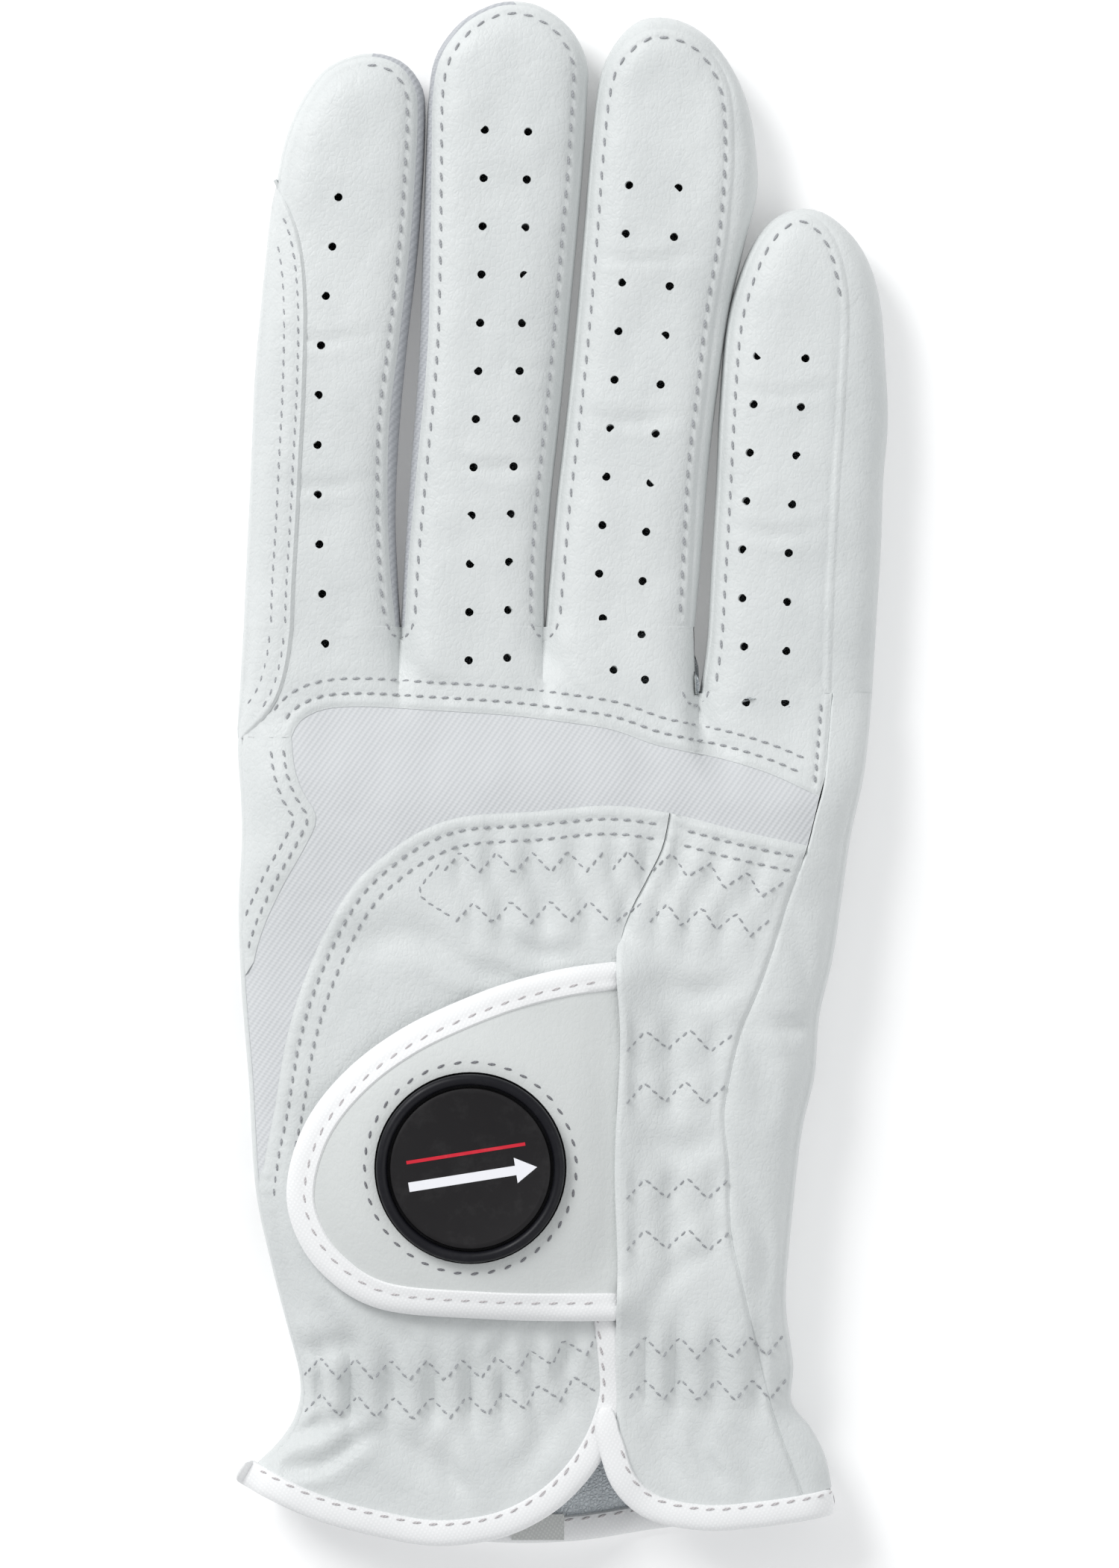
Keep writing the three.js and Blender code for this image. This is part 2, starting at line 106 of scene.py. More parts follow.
OPENING_EDGE = [
    [16.2, -5.9], [15.1, -11], [12.7, -16], [10.6, -20], [9, -24.6], [9, -30], [9.2, -40],
    [8.4, -60], [7, -74], [5.6, -80],
]
POUCH_EDGE = [
    [16.3, -5.9], [15.2, -11], [12.8, -16], [10.65, -20], [8.8, -24.2], [8.2, -29],
    [8.8, -40], [8, -58], [8.4, -72], [8.2, -84], [8.4, -99.8],
]
OUTER_SEAM = [
    [40.6, 12], [40, 5], [39.3, -1.6], [38, -6.4], [36.8, -11.2], [34.1, -18.3],
    [31.8, -25.7], [29.6, -32], [26.9, -38.4], [25.1, -45.7], [24.3, -51.5], [25, -58],
    [25.3, -67.9], [26.7, -74.6], [28.4, -82], [31.6, -95], [36.4, -108.4],
]
BACK_HEM = [
    [5.6, -80], [6.6, -88], [6.6, -93.6], [4, -100.5], [-0.8, -106.5], [-6.3, -110.2],
    [-11.8, -112], [-19.1, -112.6], [-26.3, -111.4], [-35.4, -109], [-42.7, -105.9],
    [-46.4, -104.2],
]
OUTER_HEM = [
    [8.4, -99.8], [9.9, -104.6], [12.4, -107.7], [15.5, -109.3], [22.2, -110.3],
    [31.3, -109.6], [41, -108.2],
]
PALM_HEM = [
    [-45, -104.6], [-36, -108.8], [-24, -112], [-10, -113.4], [2, -113.2], [14, -111.4],
    [26, -110], [40.6, -107.4],
]
TAB_EDGE = [
    [9, -27.9], [0.5, -29], [-8.8, -31.4], [-18.1, -35.1], [-24.6, -38.5], [-30.7, -43],
    [-35.8, -48.5], [-39, -54.1], [-40.7, -60.4], [-40.4, -66], [-37.6, -72], [-33, -76.6],
    [-28.3, -79.2], [-22.8, -80.4], [-13.5, -81], [-4.2, -81.4], [9, -81.5],
]
SIDE_STRIP_EDGE = [
    [-43.2, 89], [-40.1, 83.1], [-38.6, 77.2], [-38, 69], [-38.2, 58], [-38.7, 48],
    [-39.2, 38], [-39.8, 28], [-40, 22],
]
SIDE_STRIP_END = [[-40, 22], [-40.7, 16.6], [-42, 12], [-44.2, 8.4], [-48.1, 5]]
MARKER = (-13.4, -58.5)
MARKER_TILT = math.radians(9)

CROTCHES = (-24.1, -2.4, 20.2)  # x of the crotches: index to middle, middle to ring, ring to little

INDEX = {
    "name": "index",
    "knuckle": KNUCKLE_Y,
    "silhouette": [
        [-47.5, 22], [-47, 33], [-46.4, 46], [-45.8, 60], [-44.8, 71], [-43.9, 80], [-43.2, 86],
        [-42, 93.4], [-40.4, 98.4], [-38.3, 102.5], [-34.8, 106.5], [-29, 108.4], [-24, 107.2],
        [-21, 103.6], [-20.4, 99.4], [-20.7, 90], [-21.6, 78], [-23.2, 64], [-24.3, 52],
        [-24.9, 40], [-24.6, 30], [-24.1, 22],
    ],
    "back": [
        [-47, 22], [-46.5, 33], [-45.9, 46], [-45.3, 60], [-44.3, 71], [-43.4, 80],
        [-42.6, 86], [-41.4, 93.2], [-39.8, 98], [-37.7, 102], [-34.4, 105.8], [-29, 107.6],
        [-24.5, 106.4], [-21.9, 102.8], [-21.5, 98], [-22, 88], [-22.8, 78], [-24.4, 64],
        [-25.8, 52], [-26, 40], [-25.6, 30], [-24.8, 22],
    ],
    "sides": ("index_thumb_side", "index_fourchette"),
    "finishes": ("leather", "knit"),
    "holes": [
        [(-33.3, 86.2), (-35.9, 63.9), (-36.4, 41.6), (-35.3, 19.4)],
    ],
    "hole_counts": (10,),
    "stitched": (0.5, 1),
}
MIDDLE = {
    "name": "middle",
    "knuckle": KNUCKLE_Y,
    "silhouette": [
        [-24.1, 22], [-23.5, 33], [-22.6, 46], [-21.4, 62], [-20.9, 76], [-20.4, 92],
        [-19.9, 102], [-18.8, 108], [-15.4, 112.8], [-11.4, 115.3], [-7.8, 116.2],
        [-3.4, 115.6], [1.2, 112.4], [3.9, 107.4], [4, 102], [3.4, 92], [2.4, 80], [0.9, 64],
        [-0.3, 52], [-1.5, 41], [-2.3, 30], [-2.4, 22],
    ],
    "back": [
        [-23.5, 22], [-22.8, 33], [-21.6, 46], [-20.1, 62], [-19.6, 76], [-19.4, 92],
        [-19.2, 102], [-18, 107.6], [-14.9, 112], [-11.2, 114.5], [-7.8, 115.4],
        [-3.7, 114.8], [0.6, 111.9], [3.2, 107], [3.3, 102], [2.7, 92], [1.7, 80],
        [0.3, 64], [-0.9, 52], [-2.1, 41], [-2.9, 30], [-3, 22],
    ],
    "sides": ("middle_index_side_fourchette", "middle_ring_side_fourchette"),
    "finishes": ("knit", "leather"),
    "holes": [
        [(-11.4, 96.3), (-12.1, 67), (-13.4, 38.1), (-13.8, 16.9)],
        [(-4.9, 96), (-5.8, 67.1), (-7.5, 38.1), (-8, 17.3)],
    ],
    "hole_counts": (12, 12),
}
RING = {
    "name": "ring",
    "knuckle": KNUCKLE_Y,
    "silhouette": [
        [-2.4, 22], [-1.7, 30], [-0.7, 41], [0.6, 52], [1.9, 64], [3.3, 80], [4.3, 92],
        [5.4, 102], [6.6, 107], [9.2, 111.2], [12.6, 113.6], [17.6, 113.4], [22.2, 110.8],
        [25.9, 106], [28.3, 100.4], [29.4, 94], [29.6, 87.6], [27.8, 80], [25.3, 69],
        [23.4, 56], [22.2, 45.5], [21.2, 33], [20.2, 22],
    ],
    "back": [
        [-1.8, 22], [-1.1, 30], [-0.1, 41], [1.2, 52], [2.5, 64], [3.9, 80], [4.8, 92],
        [5.8, 101.6], [7.1, 106.2], [9.6, 109.4], [12.8, 111.4], [17.2, 111.4],
        [21.4, 109.4], [24.4, 105.4], [25.8, 100.4], [26.1, 93], [25.8, 86.7], [25, 79],
        [23.3, 68.6], [21.8, 56], [20.6, 45.5], [19.9, 33], [19.3, 22],
    ],
    "sides": ("ring_middle_side_fourchette", "ring_little_side_fourchette"),
    "finishes": ("leather", "leather"),
    "holes": [
        [(10.2, 88), (8.6, 66), (6.6, 42), (5.7, 28.8), (6.4, 22), (7.9, 15.5)],
        [(17.6, 87.6), (15.4, 63), (13.1, 40), (12.2, 27.6), (12.1, 21), (12.6, 14)],
    ],
    "hole_counts": (11, 11),
}
LITTLE = {
    "name": "little",
    "knuckle": LITTLE_KNUCKLE_Y,
    "silhouette": [
        [20.9, 12], [22, 20], [22.6, 30], [23.3, 42], [23.8, 54], [24.7, 66], [26.2, 73],
        [28.9, 79.6], [32, 83.4], [35.9, 85], [40, 84.2], [44.2, 80.6], [46.8, 76],
        [48.3, 70], [48.9, 62], [49.3, 53], [48.6, 44], [48.3, 35], [47.7, 25], [46.9, 12],
    ],
    "back": [
        [21.5, 12], [22.6, 20], [23.2, 30], [23.9, 42], [24.5, 54], [25.4, 66], [26.9, 72.6],
        [29.4, 78.8], [32.3, 82.6], [35.8, 84.2], [39, 82.8], [41.4, 79.4], [42.9, 74],
        [43.4, 68], [43, 60], [42.6, 52], [42, 44], [41.5, 35], [41, 25], [40.6, 12],
    ],
    "sides": ("little_fourchette", "little_outer_side"),
    "finishes": ("leather", "leather"),
    "holes": [
        [(29.4, 62.5), (27.7, 40.4), (27.1, 30), (27.7, 11.7)],
        [(36.6, 62.1), (34.6, 40.2), (34, 30), (33.6, 11)],
    ],
    "hole_counts": (8, 8),
    "stitched": (0, 0.62),
}
FINGERS = (INDEX, MIDDLE, RING, LITTLE)
THUMB = {
    "silhouette": [
        [-46.6, -28.4], [-41, -31.2], [-32, -29.3], [-18, -18.3], [-4, -7.3], [2, -2],
        [8.5, 2], [14.6, 1], [18.4, -5], [16.2, -12], [10, -19], [-4, -30.8], [-18, -42.7],
        [-28, -52.3], [-36, -59.8], [-45.3, -63.6],
    ],
    "sides": ("thumb_upper_strip", "thumb_lower_strip"),
}

# ---------------------------------------------------------------- lines


def spline(points, step=1.4):
    """Points about a step apart along a smooth line through the given ones."""
    given = np.array(points, float)
    padded = np.vstack([2 * given[0] - given[1], given, 2 * given[-1] - given[-2]])
    run = []
    for before, start, end, after in zip(padded, padded[1:], padded[2:], padded[3:]):
        count = max(2, round(np.linalg.norm(end - start) / 0.5))
        t = np.linspace(0, 1, count, endpoint=False)[:, None]
        run.append(
            start
            + 0.5 * t * (end - before)
            + t**2 * (before - 2.5 * start + 2 * end - 0.5 * after)
            + t**3 * (-0.5 * before + 1.5 * start - 1.5 * end + 0.5 * after)
        )
    run.append(given[-1:])
    return respaced(np.vstack(run), step)


def lengths(line):
    """Distance run along a line at each of its points."""
    return np.concatenate([[0], np.cumsum(np.linalg.norm(np.diff(line, axis=0), axis=1))])


def along(line, distances):
    """Points of a line at the given distances along it."""
    run = lengths(line)
    return np.stack([np.interp(distances, run, line[:, k]) for k in range(line.shape[1])], 1)


def respaced(line, step):
    """A line's points moved to about a step apart."""
    total = lengths(line)[-1]
    return along(line, np.linspace(0, total, max(2, round(total / step)) + 1))


def counted(line, count):
    """A line as a number of evenly spaced points."""
    return along(line, np.linspace(0, lengths(line)[-1], count))


def sideways(line, distance):
    """A line moved to its left by a distance."""
    tangent = np.gradient(line, axis=0)
    tangent /= np.linalg.norm(tangent, axis=1)[:, None] + 1e-9
    return line + np.stack([-tangent[:, 1], tangent[:, 0]], 1) * np.reshape(distance, (-1, 1))


def between(line, low, high):
    """The points of a line whose y is between two limits."""
    return line[(line[:, 1] > low) & (line[:, 1] < high)]


def ring(*lines):
    """Lines laid end to end into one closed anticlockwise outline."""
    run = np.vstack(lines)
    keep = np.linalg.norm(run - np.roll(run, -1, axis=0), axis=1) > 0.25
    run = run[keep]
    x, y = run.T
    area = np.sum(x * np.roll(y, -1) - np.roll(x, -1) * y)
    return run if area > 0 else run[::-1]


def distance(x, y, line):
    """Shortest distance from points to a line, and how far along the line that is."""
    start, step = line[:-1], np.diff(line, axis=0)
    size = np.linalg.norm(step, axis=1) + 1e-9
    best = np.full(np.shape(x), 1e9)
    place = np.zeros(np.shape(x))
    run = lengths(line)
    for i in range(len(step)):
        t = ((x - start[i, 0]) * step[i, 0] + (y - start[i, 1]) * step[i, 1]) / size[i] ** 2
        t = np.clip(t, 0, 1)
        away = np.hypot(x - start[i, 0] - t * step[i, 0], y - start[i, 1] - t * step[i, 1])
        closer = away < best
        best = np.where(closer, away, best)
        place = np.where(closer, run[i] + t * size[i], place)
    return best, place


def smooth_step(value, low, high):
    """Rises smoothly from 0 at the low limit to 1 at the high one."""
    t = np.clip((value - low) / (high - low), 0, 1)
    return t * t * (3 - 2 * t)


def mix(a, b, share):
    return a + (b - a) * share


# ---------------------------------------------------------------- the glove's surfaces

thumb_side = spline(THUMB_SIDE)
outer_side = spline(OUTER_SIDE)
for finger in FINGERS + (THUMB,):
    finger["edge"] = spline(finger["silhouette"])
index_side = INDEX["edge"][: int(np.argmax(INDEX["edge"][:, 1]))]
little_side = LITTLE["edge"][int(np.argmax(LITTLE["edge"][:, 1])) :]
hand_left = respaced(np.vstack([thumb_side[::-1], index_side[2:]]), 2)
hand_right = respaced(np.vstack([outer_side[::-1], little_side[::-1][2:]]), 2)


def rounded(depth, reach, power=2.6):
    """A rounded shoulder: 0 at an edge, rising to 1 at a reach inside it."""
    inside = 1 - np.clip(depth / reach, 0, 1)
    return (1 - inside**power) ** (1 / power)


def thumb_lift(x, y):
    """How far the folded thumb lifts the palm off the surface it lies on."""
    root, bone = THUMB_ROOT, THUMB_BONE
    t = np.clip(((x - root[0]) * bone[0] + (y - root[1]) * bone[1]) / (bone @ bone), 0, 1)
    away = np.hypot(x - root[0] - t * bone[0], y - root[1] - t * bone[1])
    reach = mix(ROOT_REACH, TIP_REACH, t)
    return THUMB_LIFT * (1 - smooth_step(away, reach, reach + LIFT_SLOPE))


def hand_depth(x, y):
    """Distance in from the nearer side of the hand."""
    return np.minimum(distance(x, y, hand_left)[0], distance(x, y, hand_right)[0])


def hand_middle(x, y):
    """Height at which the hand is widest."""
    return HAND_MIDDLE + 0.5 * thumb_lift(x, y)


def hand_top(x, y):
    """Height of the middle of the back, lower at the cuff and at the fingers."""
    body = mix(HAND_HEIGHT, FINGER_HEIGHT, smooth_step(y, *FINGERS_Y))
    return mix(CUFF_HEIGHT, body, smooth_step(y, *CUFF_Y)) + 0.06 * thumb_lift(x, y)


def finger_depth(finger, x, y):
    """Depth inside a finger's outline, its sides carried straight down into the hand."""
    edge = finger["edge"]
    first, last = edge[0] - [0, 30], edge[-1] - [0, 30]
    line = np.vstack([first, edge, last])
    return distance(x, y, line)[0]


def fingers_share(x, y):
    """How far a point of the back belongs to the fingers rather than to the hand."""
    start = 6 - 12 * smooth_step(x, 15, 25)
    return smooth_step(y, start, start + 17)


GATHERS = (  # line, period, height and spread of the ripples along an elastic
    ([[-17.6, -13.2], [-8, -13.3], [14, -13.2], [24, -15.4], [33, -17.6]], 5.5, 0.42, 4.2),
    ([[-15.9, -20.8], [-4, -20.6], [9, -20.6], [20, -21.4], [31, -23.2]], 5.5, 0.4, 4.2),
    ([[8.5, -40.1], [17, -39.6], [25.6, -40.3]], 6, 0.45, 3),
    ([[8.5, -47.8], [17, -47.4], [24.6, -47.9]], 6, 0.45, 3),
    ([[8.5, -62], [17, -61.7], [25, -62]], 6, 0.45, 3),
    ([[8.5, -69.6], [17, -69.3], [25.2, -69.8]], 6, 0.45, 3),
    ([[-38.6, -88.8], [-12, -88.8], [6, -84.6]], 5.4, 0.5, 4.2),
    ([[-38.6, -94.4], [-14, -94.6], [5, -91]], 5.4, 0.5, 4.2),
    ([[10, -85.5], [33.4, -85.6]], 5.4, 0.45, 4),
    ([[10, -92], [34, -92.2]], 5.4, 0.45, 4),
)
gather_lines = [(spline(points, 2), *rest) for points, *rest in GATHERS]
CREASES = (  # soft folds pressed into the leather: line, depth and width
    ([[-44.6, -84], [-38, -86.4], [-30, -84.6]], 0.5, 1.8),
    ([[-36, -78], [-33, -83], [-31, -88]], 0.4, 1.3),
    ([[-24, -82], [-22, -86], [-21, -90]], 0.35, 1.1),
    ([[-8, -83], [-11, -88], [-12, -92]], 0.35, 1.1),
    ([[3, -83], [0, -88], [-2, -94]], 0.4, 1.2),
    ([[-46.4, -102.2], [-40.7, -99.1], [-35.9, -97.5], [-31, -95.6]], 0.5, 1.1),
    ([[-16, -97], [-17, -102], [-15, -108]], 0.4, 1.3),
    ([[-10, -24], [-3, -27], [4, -26]], 0.35, 1.4),
    ([[-22, -23], [-14, -29], [-6, -30]], 0.35, 1.6),
    ([[26.4, -34], [30, -44], [29.6, -54]], 0.45, 1.8),
    ([[27, -62], [30.4, -70], [30, -80]], 0.45, 1.6),
    ([[30, -82], [32, -88], [33, -95]], 0.4, 1.2),
    ([[20, -97], [21, -102], [25, -107]], 0.4, 1.3),
    ([[33, -22], [36, -27], [38, -33]], 0.4, 1.6),
    ([[-3, 20], [2, 13], [9, 7], [15, 2.4]], 0.45, 1.6),
    ([[1, 19], [7, 12.6], [13, 8]], 0.3, 1.3),
    ([[19.6, 11], [22, 5], [27, 1.4]], 0.4, 1.7),
    ([[-24, 20], [-21, 14], [-16, 11]], 0.3, 1.6),
    ([[-46, -62], [-41, -78], [-33, -87]], 0.6, 2.6),
    ([[-45, -54], [-42, -70], [-38, -84]], 0.45, 2.2),
    ([[-30, -97], [-20, -103], [-13, -110]], 0.4, 2.2),
    ([[-42.3, -104.2], [-35.9, -103.4], [-31.1, -100.3], [-27, -98]], 0.6, 1.2),
    ([[0, -93], [-3, -100], [-8, -106]], 0.35, 1.8),
    ([[13, -80], [17, -74], [22, -71]], 0.3, 1.6),
    ([[13, -30], [20, -33], [27, -31]], 0.35, 1.8),
    ([[11, -54], [18, -56], [24, -54]], 0.3, 1.8),
    ([[25, -97], [28, -102], [30, -108]], 0.4, 2),
    ([[14, -96], [15, -101], [19, -107]], 0.35, 1.8),
    ([[38.9, -36.8], [34, -38], [30, -36.6]], 0.5, 1.3),
    ([[-35, -27], [-24, -24], [-12, -26]], 0.35, 2.6),
    ([[-10, 62], [-5, 60.4], [0, 61]], 0.16, 0.9),
    ([[-17, 47], [-10, 45.6], [-3, 46.4]], 0.2, 1),
    ([[4, 78], [12, 76.6], [22, 78]], 0.16, 0.9),
    ([[3, 54], [10, 52.6], [19, 54]], 0.2, 1),
    ([[-44, 66], [-36, 64.6], [-27, 66.4]], 0.16, 0.9),
    ([[-44, 44], [-36, 42.8], [-27, 44.4]], 0.2, 1),
    ([[26, 58], [33, 56.6], [42, 58]], 0.16, 0.9),
    ([[25, 37], [33, 35.6], [40, 37]], 0.2, 1),
)
crease_lines = [(spline(points, 2), depth, width) for points, depth, width in CREASES]
GATHERING = 1.5  # how much stronger than in the lists above the gathers and creases are
CREASING = 1.6
UNEVENNESS = (  # height, rates along x and y, and place in z of each layer of noise
    (0.5, 0.075, 0.055, 3.1), (0.26, 0.2, 0.15, 9.4), (0.07, 0.5, 0.42, 5.7),
)


def handling(x, y):
    """Gathers, creases and the slight unevenness of leather that has been worked."""
    z = np.zeros(np.shape(x))
    for line, period, height, spread in gather_lines:
        away, place = distance(x, y, line)
        total = lengths(line)[-1]
        ripple = 1 - 1.9 * np.abs(np.sin(np.pi * place / period + 0.5 * np.sin(place / 5))) ** 3
        ends = smooth_step(place, 0.2, 3) * (1 - smooth_step(place, total - 3, total - 0.2))
        z += GATHERING * height * ripple * np.exp(-((away / spread) ** 2)) * ends
    for line, depth, width in crease_lines:
        away, place = distance(x, y, line)
        total = lengths(line)[-1]
        ends = np.sin(np.pi * np.clip(place / total, 0, 1)) ** 0.7
        fold = np.exp(-((away / width) ** 2))
        ridge = 0.5 * np.exp(-(((away - 1.8 * width) / width) ** 2))
        z -= CREASING * depth * ends * (fold - ridge)
    uneven = [
        sum(size * noise.noise(Vector((a * u, b * v, layer))) for size, u, v, layer in UNEVENNESS)
        for a, b in zip(np.ravel(x), np.ravel(y))
    ]
    return z + np.reshape(uneven, np.shape(x))


def over_fingers(height, x, y, finger=None):
    """A height in one finger or, without one, in the finger that each point belongs to."""
    if finger is not None:
        return height(finger, x, y)
    places = np.digitize(x, CROTCHES)
    z = np.zeros(np.shape(x))
    for i, one in enumerate(FINGERS):
        here = places == i
        if np.any(here):
            z[here] = height(one, x[here], y[here])
    return z


def back_surface(x, y, finger=None):
    """Height of the glove's outer surface on the back of the hand."""
    depth = hand_depth(x, y)
    middle = hand_middle(x, y)
    hand = middle + (hand_top(x, y) - middle) * rounded(depth, BACK_SHOULDER)
    finger_z = over_fingers(finger_height, x, y, finger)
    calm = smooth_step(np.minimum(depth, 4), 0, 3)
    return mix(hand, finger_z, fingers_share(x, y)) + handling(x, y) * calm


def finger_height(finger, x, y):
    depth = finger_depth(finger, x, y)
    return FINGER_MIDDLE + (FINGER_HEIGHT - 0.3 - FINGER_MIDDLE) * rounded(depth, FINGER_SHOULDER)


def palm_surface(x, y, finger=None):
    """Height of the glove's outer surface under the palm."""
    middle = hand_middle(x, y)
    low = thumb_lift(x, y) + FLOOR_GAP
    hand = middle + (low - middle) * rounded(hand_depth(x, y), PALM_SHOULDER)
    return mix(hand, over_fingers(finger_floor, x, y, finger), fingers_share(x, y))


def finger_floor(finger, x, y):
    depth = finger_depth(finger, x, y)
    return FINGER_MIDDLE + (FLOOR_GAP - FINGER_MIDDLE) * rounded(depth, FINGER_FLOOR_SHOULDER)


def thumb_half_height(x, y):
    """Height of the thumb above its middle, or depth below it."""
    return (THUMB_HEIGHT / 2 - FLOOR_GAP) * rounded(distance(x, y, THUMB["edge"])[0], 8, 3)


def thumb_top(x, y):
    return THUMB_HEIGHT / 2 + thumb_half_height(x, y)


def thumb_floor(x, y):
    return THUMB_HEIGHT / 2 - thumb_half_height(x, y)


# ---------------------------------------------------------------- finishes

def finish(name, build):
    """A material made by node code."""
    material = bpy.data.materials.new(name)
    material.use_nodes = True
    tree = material.node_tree
    shader = tree.nodes["Principled BSDF"]
    build(Nodes(tree), shader)
    return material


class Nodes:
    """Short ways to wire a node tree."""

    def __init__(self, tree):
        self.tree = tree
        self.place = self.add("ShaderNodeTexCoord").outputs["Object"]

    def add(self, kind, **settings):
        node = self.tree.nodes.new(kind)
        for key, value in settings.items():
            setattr(node, key, value)
        return node

    def put(self, socket, value):
        if isinstance(value, bpy.types.NodeSocket):
            self.tree.links.new(value, socket)
        else:
            socket.default_value = value

    def mapped(self, scale=(1, 1, 1), turn=(0, 0, 0)):
        node = self.add("ShaderNodeMapping")
        self.put(node.inputs["Vector"], self.place)
        node.inputs["Scale"].default_value = scale
        node.inputs["Rotation"].default_value = turn
        return node.outputs["Vector"]

    def noise(self, scale, detail=3.0, roughness=0.55, vector=None):
        node = self.add("ShaderNodeTexNoise")
        self.put(node.inputs["Vector"], vector or self.place)
        node.inputs["Scale"].default_value = scale
        node.inputs["Detail"].default_value = detail
        node.inputs["Roughness"].default_value = roughness
        return node.outputs["Fac"]

    def cells(self, scale, vector=None):
        node = self.add("ShaderNodeTexVoronoi", feature="DISTANCE_TO_EDGE")
        self.put(node.inputs["Vector"], vector or self.place)
        node.inputs["Scale"].default_value = scale
        return node.outputs["Distance"]

    def bands(self, scale, vector, distortion=0.0):
        node = self.add("ShaderNodeTexWave", bands_direction="X", wave_profile="SIN")
        self.put(node.inputs["Vector"], vector)
        node.inputs["Scale"].default_value = scale
        node.inputs["Distortion"].default_value = distortion
        node.inputs["Detail"].default_value = 1.0
        return node.outputs["Fac"]

    def math(self, operation, a, b=0.0):
        node = self.add("ShaderNodeMath", operation=operation)
        self.put(node.inputs[0], a)
        self.put(node.inputs[1], b)
        return node.outputs[0]

    def ranged(self, value, low, high, out_low, out_high):
        node = self.add("ShaderNodeMapRange")
        self.put(node.inputs["Value"], value)
        limits = {"From Min": low, "From Max": high, "To Min": out_low, "To Max": out_high}
        for key, number in limits.items():
            node.inputs[key].default_value = number
        return node.outputs[0]

    def blend(self, share, a, b):
        node = self.add("ShaderNodeMix", data_type="RGBA")
        self.put(node.inputs["Factor"], share)
        sockets = [s for s in node.inputs if s.type == "RGBA"]
        for socket, colour in zip(sockets, (a, b)):
            socket.default_value = (*colour, 1)
        return next(s for s in node.outputs if s.type == "RGBA")

    def bump(self, height, strength, depth):
        node = self.add("ShaderNodeBump")
        self.put(node.inputs["Height"], height)
        node.inputs["Strength"].default_value = strength
        node.inputs["Distance"].default_value = depth
        return node.outputs["Normal"]


def set_plain(shader, values):
    """Sets the inputs of a shader that no node drives."""
    for key, value in values.items():
        shader.inputs[key].default_value = value


def wave_rate(period):
    """The wave texture's scale for bands a period apart: its bands repeat every 2 pi / 20."""
    return 2 * math.pi / (20 * period * MM)


def leather_finish(light, shade, roughness=0.5, grain=1.0):
    """Thin glove leather: cloudy tone, fine pebbled grain, stretched a little along the hand."""

    def build(n, shader):
        cloud = n.noise(38, 4, 0.6)
        fine = n.noise(900, 3)
        tone = n.math("ADD", n.math("MULTIPLY", cloud, 0.75), n.math("MULTIPLY", fine, 0.25))
        n.put(shader.inputs["Base Color"], n.blend(n.ranged(tone, 0.35, 0.68, 0, 1), shade, light))
        wear = n.ranged(n.noise(160, 3), 0.3, 0.7, roughness - 0.07, roughness + 0.09)
        n.put(shader.inputs["Roughness"], wear)
        stretched = n.mapped((1.15, 0.85, 1))
        pebbles = n.cells(1150, vector=stretched)
        dust = n.math("MULTIPLY", n.noise(2600, 2), 0.5)
        grain_height = n.math("ADD", n.ranged(pebbles, 0, 0.22, 0, 0.6), dust)
        wrinkles = n.math("ABSOLUTE", n.math("SUBTRACT", n.noise(130, 5, 0.62, stretched), 0.5))
        height = n.math("ADD", grain_height, n.math("MULTIPLY", n.noise(240, 3), 1.4))
        height = n.math("ADD", height, n.math("MULTIPLY", n.ranged(wrinkles, 0, 0.07, 0, 1), 0.9))
        n.put(shader.inputs["Normal"], n.bump(height, 0.35 * grain, 0.00012))
        set_plain(shader, {"Specular IOR Level": 0.42, "Sheen Weight": 0.12, "Sheen Roughness": 0.5})

    return build


def knit_finish(light, shade, period=0.95, turn=0.62):
    """Fine diagonal rib of a stretch knit."""

    def build(n, shader):
        turned = n.mapped(turn=(0, 0, turn))
        crossed = n.mapped(turn=(0, 0, turn + 1.35))
        rate = wave_rate(period)
        rib = n.bands(rate, turned, distortion=0.35)
        yarn = n.bands(rate * 1.6, crossed, distortion=0.5)
        weave = n.math("ADD", n.math("MULTIPLY", rib, 0.7), n.math("MULTIPLY", yarn, 0.3))
        cloud = n.noise(60, 3)
        tone = n.math("ADD", n.math("MULTIPLY", weave, 0.7), n.math("MULTIPLY", cloud, 0.3))
        n.put(shader.inputs["Base Color"], n.blend(n.ranged(tone, 0.15, 0.8, 0, 1), shade, light))
        n.put(shader.inputs["Normal"], n.bump(weave, 0.5, 0.00014))
        set_plain(shader, {"Roughness": 0.82, "Specular IOR Level": 0.25})
        set_plain(shader, {"Sheen Weight": 0.3, "Sheen Roughness": 0.4})

    return build


def tape_finish(light, shade, period=0.55):
    """Close woven binding tape."""

    def build(n, shader):
        rate = wave_rate(period)
        across = n.bands(rate, n.mapped(turn=(0, 0, 0.5)))
        back = n.bands(rate, n.mapped(turn=(0, 0, -0.9)))
        weave = n.math("MULTIPLY", across, back)
        tone = n.ranged(n.math("ADD", weave, n.noise(70, 3)), 0.3, 1.3, 0, 1)
        n.put(shader.inputs["Base Color"], n.blend(tone, shade, light))
        n.put(shader.inputs["Normal"], n.bump(weave, 0.3, 0.00008))
        set_plain(shader, {"Roughness": 0.62, "Sheen Weight": 0.15})

    return build


def pile_finish(light, shade, scale=1800):
    """Brushed loops or hooks: short fibres in clumps."""

    def build(n, shader):
        fibre = n.noise(scale, 5, 0.7)
        clumps = n.cells(scale * 1.1)
        height = n.math("ADD", fibre, n.ranged(clumps, 0, 0.3, 0, 0.8))
        n.put(shader.inputs["Base Color"], n.blend(n.ranged(height, 0.4, 1.2, 0, 1), shade, light))
        n.put(shader.inputs["Normal"], n.bump(height, 0.8, 0.0003))
        set_plain(shader, {"Roughness": 0.95, "Sheen Weight": 0.4})

    return build


